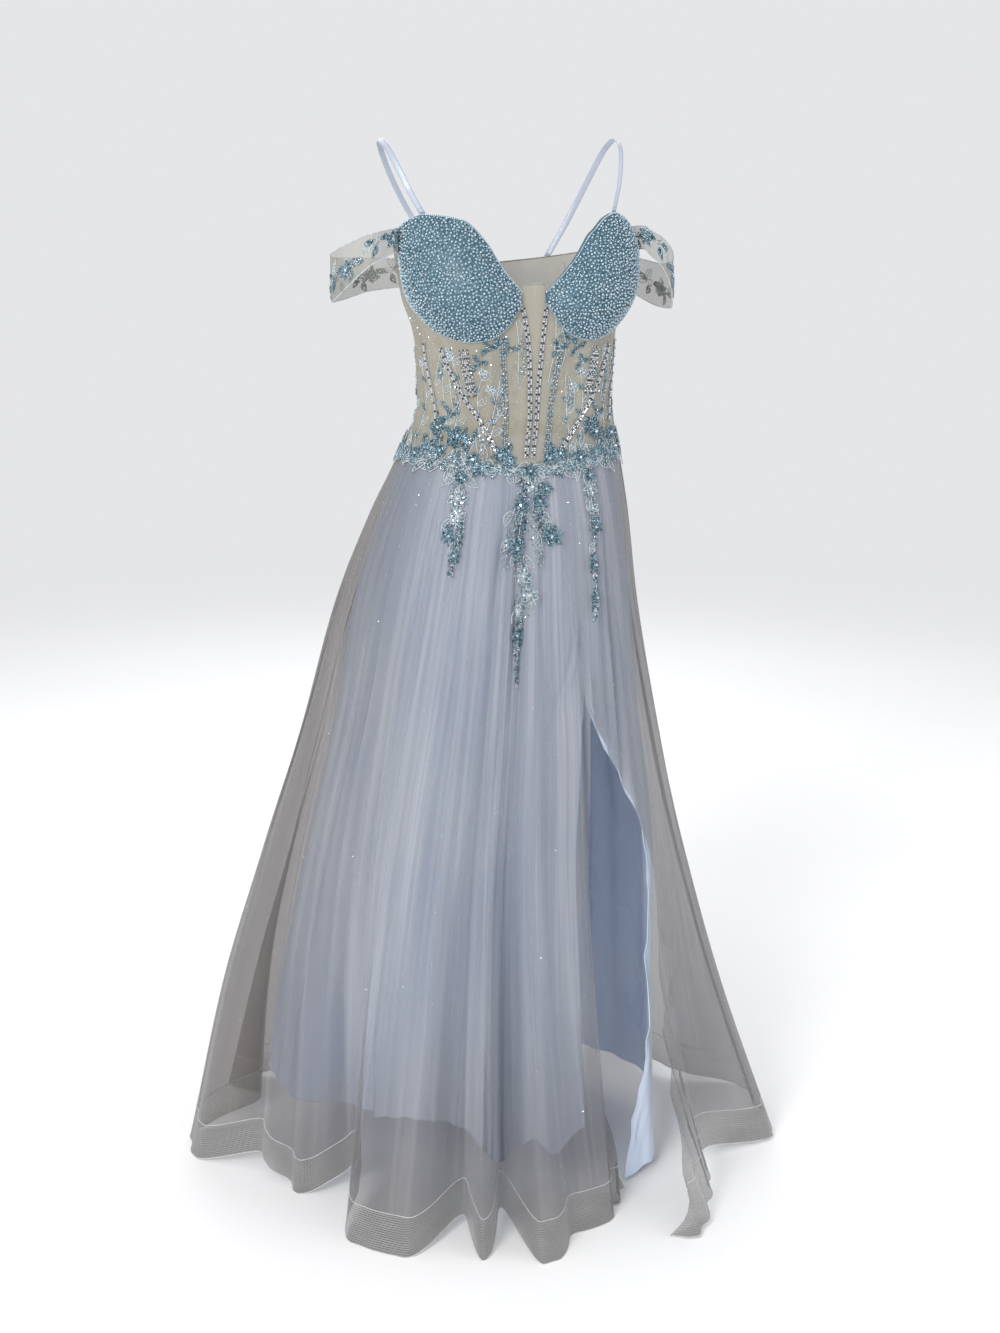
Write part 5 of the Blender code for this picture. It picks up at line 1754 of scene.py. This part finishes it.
def sleeve_grid(name, side):
    """The band's points, a row of them for each place along it from front to back."""
    reach, drop = SLEEVE_SHAPE[name]
    stretch = (reach - SLEEVE_ROOT) / (SLEEVE["out"](0.5) - SLEEVE_ROOT)
    rows = np.linspace(0, 1, SLEEVE_ROWS)

    def end(turn, top, bottom, lift):
        return lifted(bodice_radius, side * turn, bottom + (top - bottom) * rows, lift)[0]

    columns = [end(*place, SLEEVE_LIFT) for place in SLEEVE_FRONT_END]
    for way in np.linspace(0, 1, 11):
        out = SLEEVE_ROOT + (SLEEVE["out"](way) - SLEEVE_ROOT) * stretch
        lower = drop * math.sin(math.pi * way)
        bottom, top = SLEEVE["bottom"](way) - lower, SLEEVE["top"](way) - lower
        height = bottom + (top - bottom) * rows
        x, y = SLEEVE_MIDDLE + side * out, SLEEVE["back"](way)
        columns.append(np.stack((np.full(len(rows), x), np.full(len(rows), y), height), -1))
    columns += [end(*place, SLEEVE_LIFT + CLOTH) for place in SLEEVE_BACK_END]
    coarse = np.array(columns)
    steps = np.linspace(0, len(columns) - 1, SLEEVE_COLUMNS)
    fine = np.empty((SLEEVE_COLUMNS, SLEEVE_ROWS, 3))
    for row, axis in product(range(SLEEVE_ROWS), range(3)):
        fine[:, row, axis] = Curve(list(enumerate(coarse[:, row, axis])))(steps)
    return fine


def grid_outward(grid, side):
    along = np.gradient(grid, axis=0)
    up = np.gradient(grid, axis=1)
    return unit(np.cross(along, up)) * side


def ground_on_grid(grid, out, lift):
    """Like ground_on, on a band's grid: x is the distance along it and y the height on it."""
    middle = grid[:, grid.shape[1] // 2]
    reach = np.concatenate(([0.0], np.cumsum(np.linalg.norm(np.diff(middle, axis=0), axis=1))))

    def ground(x, y, more=0.0):
        x, y = np.broadcast_arrays(np.asarray(x, float), np.asarray(y, float))
        column = np.clip(np.interp(x, reach, np.arange(len(reach))), 0, len(reach) - 1.001)
        i = column.astype(int)
        a = (column - i)[:, None]
        tall = np.linalg.norm(grid[i, -1] - grid[i, 0], axis=-1)
        row = np.clip(y / tall, 0, 0.999) * (grid.shape[1] - 1)
        j = row.astype(int)
        b = (row - j)[:, None]

        def read(values):
            lower = values[i, j] * (1 - a) + values[i + 1, j] * a
            upper = values[i, j + 1] * (1 - a) + values[i + 1, j + 1] * a
            return lower * (1 - b) + upper * b

        facing = unit(read(out))
        return read(grid) + facing * (lift + more), facing

    return ground, reach[-1]


def build_sleeves(look):
    """Sheer bands off the shoulders with a corded edge, and motifs along them."""
    for name, side in SIDES:
        grid = sleeve_grid(name, side)
        along = np.arange(SLEEVE_COLUMNS)[:, None]
        pucker = np.sin(along * 0.9) * np.sin(np.linspace(0, np.pi, SLEEVE_ROWS))[None]
        out = grid_outward(grid, side)
        grid = grid + out * (0.5 * MM * pucker)[..., None]
        places = (along * SLEEVE_COLUMN_WIDTH + np.zeros((1, SLEEVE_ROWS)), grid[..., 2])
        sheet, node = f"sleeve_band_{name}", f"sleeve_{name}"
        band = add_sheet(sheet, grid, places, look["sleeve"], node)
        pile = Pile()
        for row in (0, -1):
            pile.tube(grid[:, row], out[:, row], 0.6 * MM, CORD)
        ground, length = ground_on_grid(grid, out, 0.5 * MM)
        for k, share in enumerate(SLEEVE_MOTIFS):
            y = (13 + 7 * (k % 2)) * MM + 8 * MM * math.sin(math.pi * share)
            add_sleeve_motif(pile, ground, share * length, y, k % 2)
        trim = build_lace(pile, f"sleeve_trim_{name}", look)


def add_sleeve_motif(pile, ground, x, y, odd):
    """A patch of beads with leaves, and with a flower on every other one."""
    if odd:
        strew_patch(pile, ground, (8 * MM, 5 * MM), SILVER_MIX, 2.3 * MM, (x, y))
    else:
        strew_patch(pile, ground, (9 * MM, 6 * MM), TEAL_MIX, 2.1 * MM, (x, y))
        beaded_flower(pile, ground, 10 * MM, (x + 13 * MM, y + 2 * MM))
    fill = TEAL if odd else SILVER
    for angle in (-115 + 20 * odd, 70, 160):
        dx, dy = turned(0.0, 5 * MM, angle)
        beaded_leaf(pile, ground, angle, 14 * MM, 7 * MM, fill, (x + dx, y + dy))
    for angle in (25 - 50 * odd, 95):
        corded_leaf(pile, ground, angle, 20 * MM, 8 * MM, 3, (x + 5 * MM, y))


STRAP_ROUTE = (
    (-0.1170, -0.0520, -0.0868),
    (-0.1300, -0.0500, -0.0600),
    (-0.1420, -0.0360, -0.0290),
    (-0.1500, -0.0130, -0.0070),
    (-STRAP_SPREAD, 0.0140, 0.0000),
    (-0.1490, 0.0410, -0.0110),
    (-0.1360, 0.0660, -0.0450),
    (-0.1100, 0.0850, -0.1000),
    (-0.0790, 0.0885, -0.1480),
)
STRAP_CELLS = 72
STRAP_TURNS = (64.0, 139.0)


def strap_route(side):
    """The strap's underside, moved at both ends to the edges that it is sewn on."""
    x, y, z = smooth_route(STRAP_ROUTE, STRAP_CELLS + 1)
    route = np.stack((-side * x, y, z), -1)
    clear = 1.1 * MM
    ends = (
        (STRAP_TURNS[0], CUP["high"](STRAP_TURNS[0]) + clear, 2.2 * MM),
        (STRAP_TURNS[1], BACK_TOP["height"](STRAP_TURNS[1]) + clear, CLOTH),
    )
    for (turn, height, inside), at in zip(ends, (0, STRAP_CELLS)):
        seat, _ = lifted(bodice_radius, side * turn, height, -inside)
        weight = (1 - np.abs(np.arange(STRAP_CELLS + 1) - at) / STRAP_CELLS) ** 4
        route = route + (seat - route[at]) * weight[:, None]
    return route


# The straps curve round points between the gown's middle and themselves.
SHOULDER_CENTRE = (0.02, 0.012, -0.11)
SHOULDER_SHARE = 0.62


def strap_frame(route):
    """The directions out of and across a strap, square to its route and level at its ends."""
    ahead = unit(np.gradient(route, axis=0))
    shoulder = np.full(route.shape, SHOULDER_CENTRE)
    shoulder[:, 0] += SHOULDER_SHARE * (route[:, 0] - SHOULDER_CENTRE[0])
    away = route - shoulder
    out = unit(away - ahead * np.sum(away * ahead, -1, keepdims=True))
    aside = np.cross(ahead, out)
    for end in (0, -1):
        aside[end, 2] = 0.0
    return out, unit(aside)


def rounded(values, power):
    return np.sign(values) * np.abs(values) ** power


def build_straps(look):
    """Satin ribbon straps with a soft edge, and a stitched fold at each end."""
    angle = 2 * np.pi * np.arange(12) / 12
    wide = STRAP_WIDTH / 2 * rounded(np.cos(angle), 0.5)[None, :, None]
    thick = 0.7 * MM * rounded(np.sin(angle), 0.7)[None, :, None]
    for name, side in SIDES:
        route = strap_route(side)
        out, aside = strap_frame(route)
        middle = route + out * 0.75 * MM
        pile = Pile()
        pile.loft(middle[:, None] + aside[:, None] * wide + out[:, None] * thick, 0)
        for edge in (-0.36, 0.36):
            line = middle + aside * STRAP_WIDTH * edge + out * 0.62 * MM
            pile.tube(line, out, 0.18 * MM, 1)
        for step in (2, STRAP_CELLS - 2):
            reach = np.linspace(-0.42, 0.42, 5)[:, None] * STRAP_WIDTH
            across = middle[step] + aside[step] * reach + out[step] * 0.7 * MM
            pile.tube(across, np.tile(out[step], (5, 1)), 0.25 * MM, 1)
        looks = [look["strap"], look["casing"]]
        pile.build(f"strap_ribbon_{name}", looks, "satin", [f"strap_{name}"])


# --- The zip ---


ZIP_TAPE_END = -0.528
ZIP_ROWS = 90
ZIP_PITCH = 2.2 * MM
TOOTH = (0.75 * MM, 0.55 * MM, 0.9 * MM)  # half of its size across, along and outward
COIL_RADIUS = 0.45 * MM


def build_zip(look):
    """The zip's tape with its closed teeth. The slider and the pull keep their own shapes."""
    height = np.linspace(ZIP_TAPE_END, ZIP_TOP, ZIP_ROWS)
    path, out = lifted(gown_radius, np.full(ZIP_ROWS, 180.0), height, 0.0)
    shallow, deep = ZIP_DEPTHS
    face = -shallow - (deep - shallow) * ease((WAIST_SEAM + 0.026 - height) / 0.026)
    aside = np.tile((1.0, 0.0, 0.0), (ZIP_ROWS, 1))
    pile = Pile()
    for half in (-1, 1):
        reach = np.linspace(half * 0.4 * MM, half * ZIP_TAPE_WIDTH / 2, 3)
        outer, inner = (
            np.stack([path + out * depth[:, None] + aside * x for x in reach], 1)
            for depth in (face, face - 0.8 * MM)
        )
        pile.strip(outer, inner, 0)
        ridge = path + out * ((face - 0.2 * MM) / 2)[:, None] + aside * half * 0.9 * MM
        bead_row(pile, ridge, out, ZIP_PITCH, BLOCK, TOOTH, (1,))
        coil = path + out * (face + 0.5 * MM)[:, None] + aside * half * 2.2 * MM
        pile.tube(coil, out, COIL_RADIUS, 0)
    looks = [look["tape"], look["teeth"]]
    pile.build("zip_tape_and_teeth", looks, "zip_tape", ["zip_tape"], (1,))
    for node in ("zip_slider", "zip_pull"):
        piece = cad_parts[node]
        piece.data.materials.clear()
        piece.data.materials.append(look["metal"])


# --- The studio ---


FLOOR_RADIUS = 4.0


def build_floor():
    sides = 96
    angle = 2 * np.pi * np.arange(sides) / sides
    rim = np.stack((np.cos(angle), np.sin(angle), 0 * angle), -1) * FLOOR_RADIUS
    mesh = bpy.data.meshes.new("studio_floor")
    mesh.from_pydata(rim, [], [list(range(sides))])
    mesh.materials.append(floor_material("studio_floor", FLOOR_TONES))
    floor = bpy.data.objects.new("studio_floor", mesh)
    floor.location = (0.0, 0.0, FLOOR)
    bpy.context.scene.collection.objects.link(floor)


# Each light: its name, place, width, power and colour.
LIGHTS = (
    ("key", (-2.3, -3.0, 1.0), 1.5, 125.0, (1.0, 0.99, 0.97)),
    ("fill", (2.8, -1.9, 0.5), 2.4, 20.0, (0.94, 0.97, 1.0)),
    ("back", (0.6, 3.2, 1.2), 2.6, 48.0, (1.0, 1.0, 1.0)),
)
LIT_POINT = Vector((0.0, 0.0, -0.6))


def build_lights():
    for name, place, size, power, colour in LIGHTS:
        data = bpy.data.lights.new(f"{name}_light", "AREA")
        data.size = size
        data.energy = power
        data.color = colour
        light = bpy.data.objects.new(data.name, data)
        light.location = place
        light.rotation_mode = "QUATERNION"
        light.rotation_quaternion = (LIT_POINT - light.location).to_track_quat("-Z", "Y")
        bpy.context.scene.collection.objects.link(light)
    world = bpy.data.worlds.new("studio")
    world.use_nodes = True
    background = world.node_tree.nodes["Background"]
    background.inputs["Color"].default_value = (0.98, 0.985, 1.0, 1.0)
    background.inputs["Strength"].default_value = 0.8
    scene = bpy.context.scene
    scene.world = world
    scene.view_settings.view_transform = "Standard"


CAMERA_DISTANCE = 2.60
CAMERA_SWING = math.radians(14.0)  # towards the wearer's right
CAMERA_DIP = math.radians(14.75)


def build_camera():
    data = bpy.data.cameras.new("camera")
    data.lens = 54.0
    data.sensor_width = 36.0
    camera = bpy.data.objects.new("camera", data)
    level = Vector((math.sin(CAMERA_SWING), math.cos(CAMERA_SWING), 0.0))
    camera.location = -CAMERA_DISTANCE * level
    ahead = level * math.cos(CAMERA_DIP) - Vector((0.0, 0.0, math.sin(CAMERA_DIP)))
    camera.rotation_mode = "QUATERNION"
    camera.rotation_quaternion = ahead.to_track_quat("-Z", "Y")
    bpy.context.scene.collection.objects.link(camera)
    bpy.context.scene.camera = camera


def main():
    look = {**cloth_materials(), **hard_materials()}
    build_camera()
    build_lights()
    build_floor()
    build_tulle(look)
    build_lining(look)
    build_net(look)
    build_cups(look)
    build_bones(look)
    build_embroidery(look)
    build_waist_band("waist_lace_front", -79.5, 79.5, WAIST_CLUSTERS, WAIST_FLOWERS, look)
    for name, side in SIDES:
        start, end = sorted((side * 80.0, side * 176.0))
        clusters = [(side * turn, *rest) for turn, *rest in BACK_WAIST_CLUSTERS]
        flowers = [(side * turn, *rest) for turn, *rest in BACK_WAIST_FLOWERS]
        build_waist_band(f"waist_lace_{name}", start, end, clusters, flowers, look)
    for name, parts in SPRAYS.items():
        build_spray(name, parts, look)
    build_sleeves(look)
    build_straps(look)
    build_zip(look)
    build_glitter(look)


main()
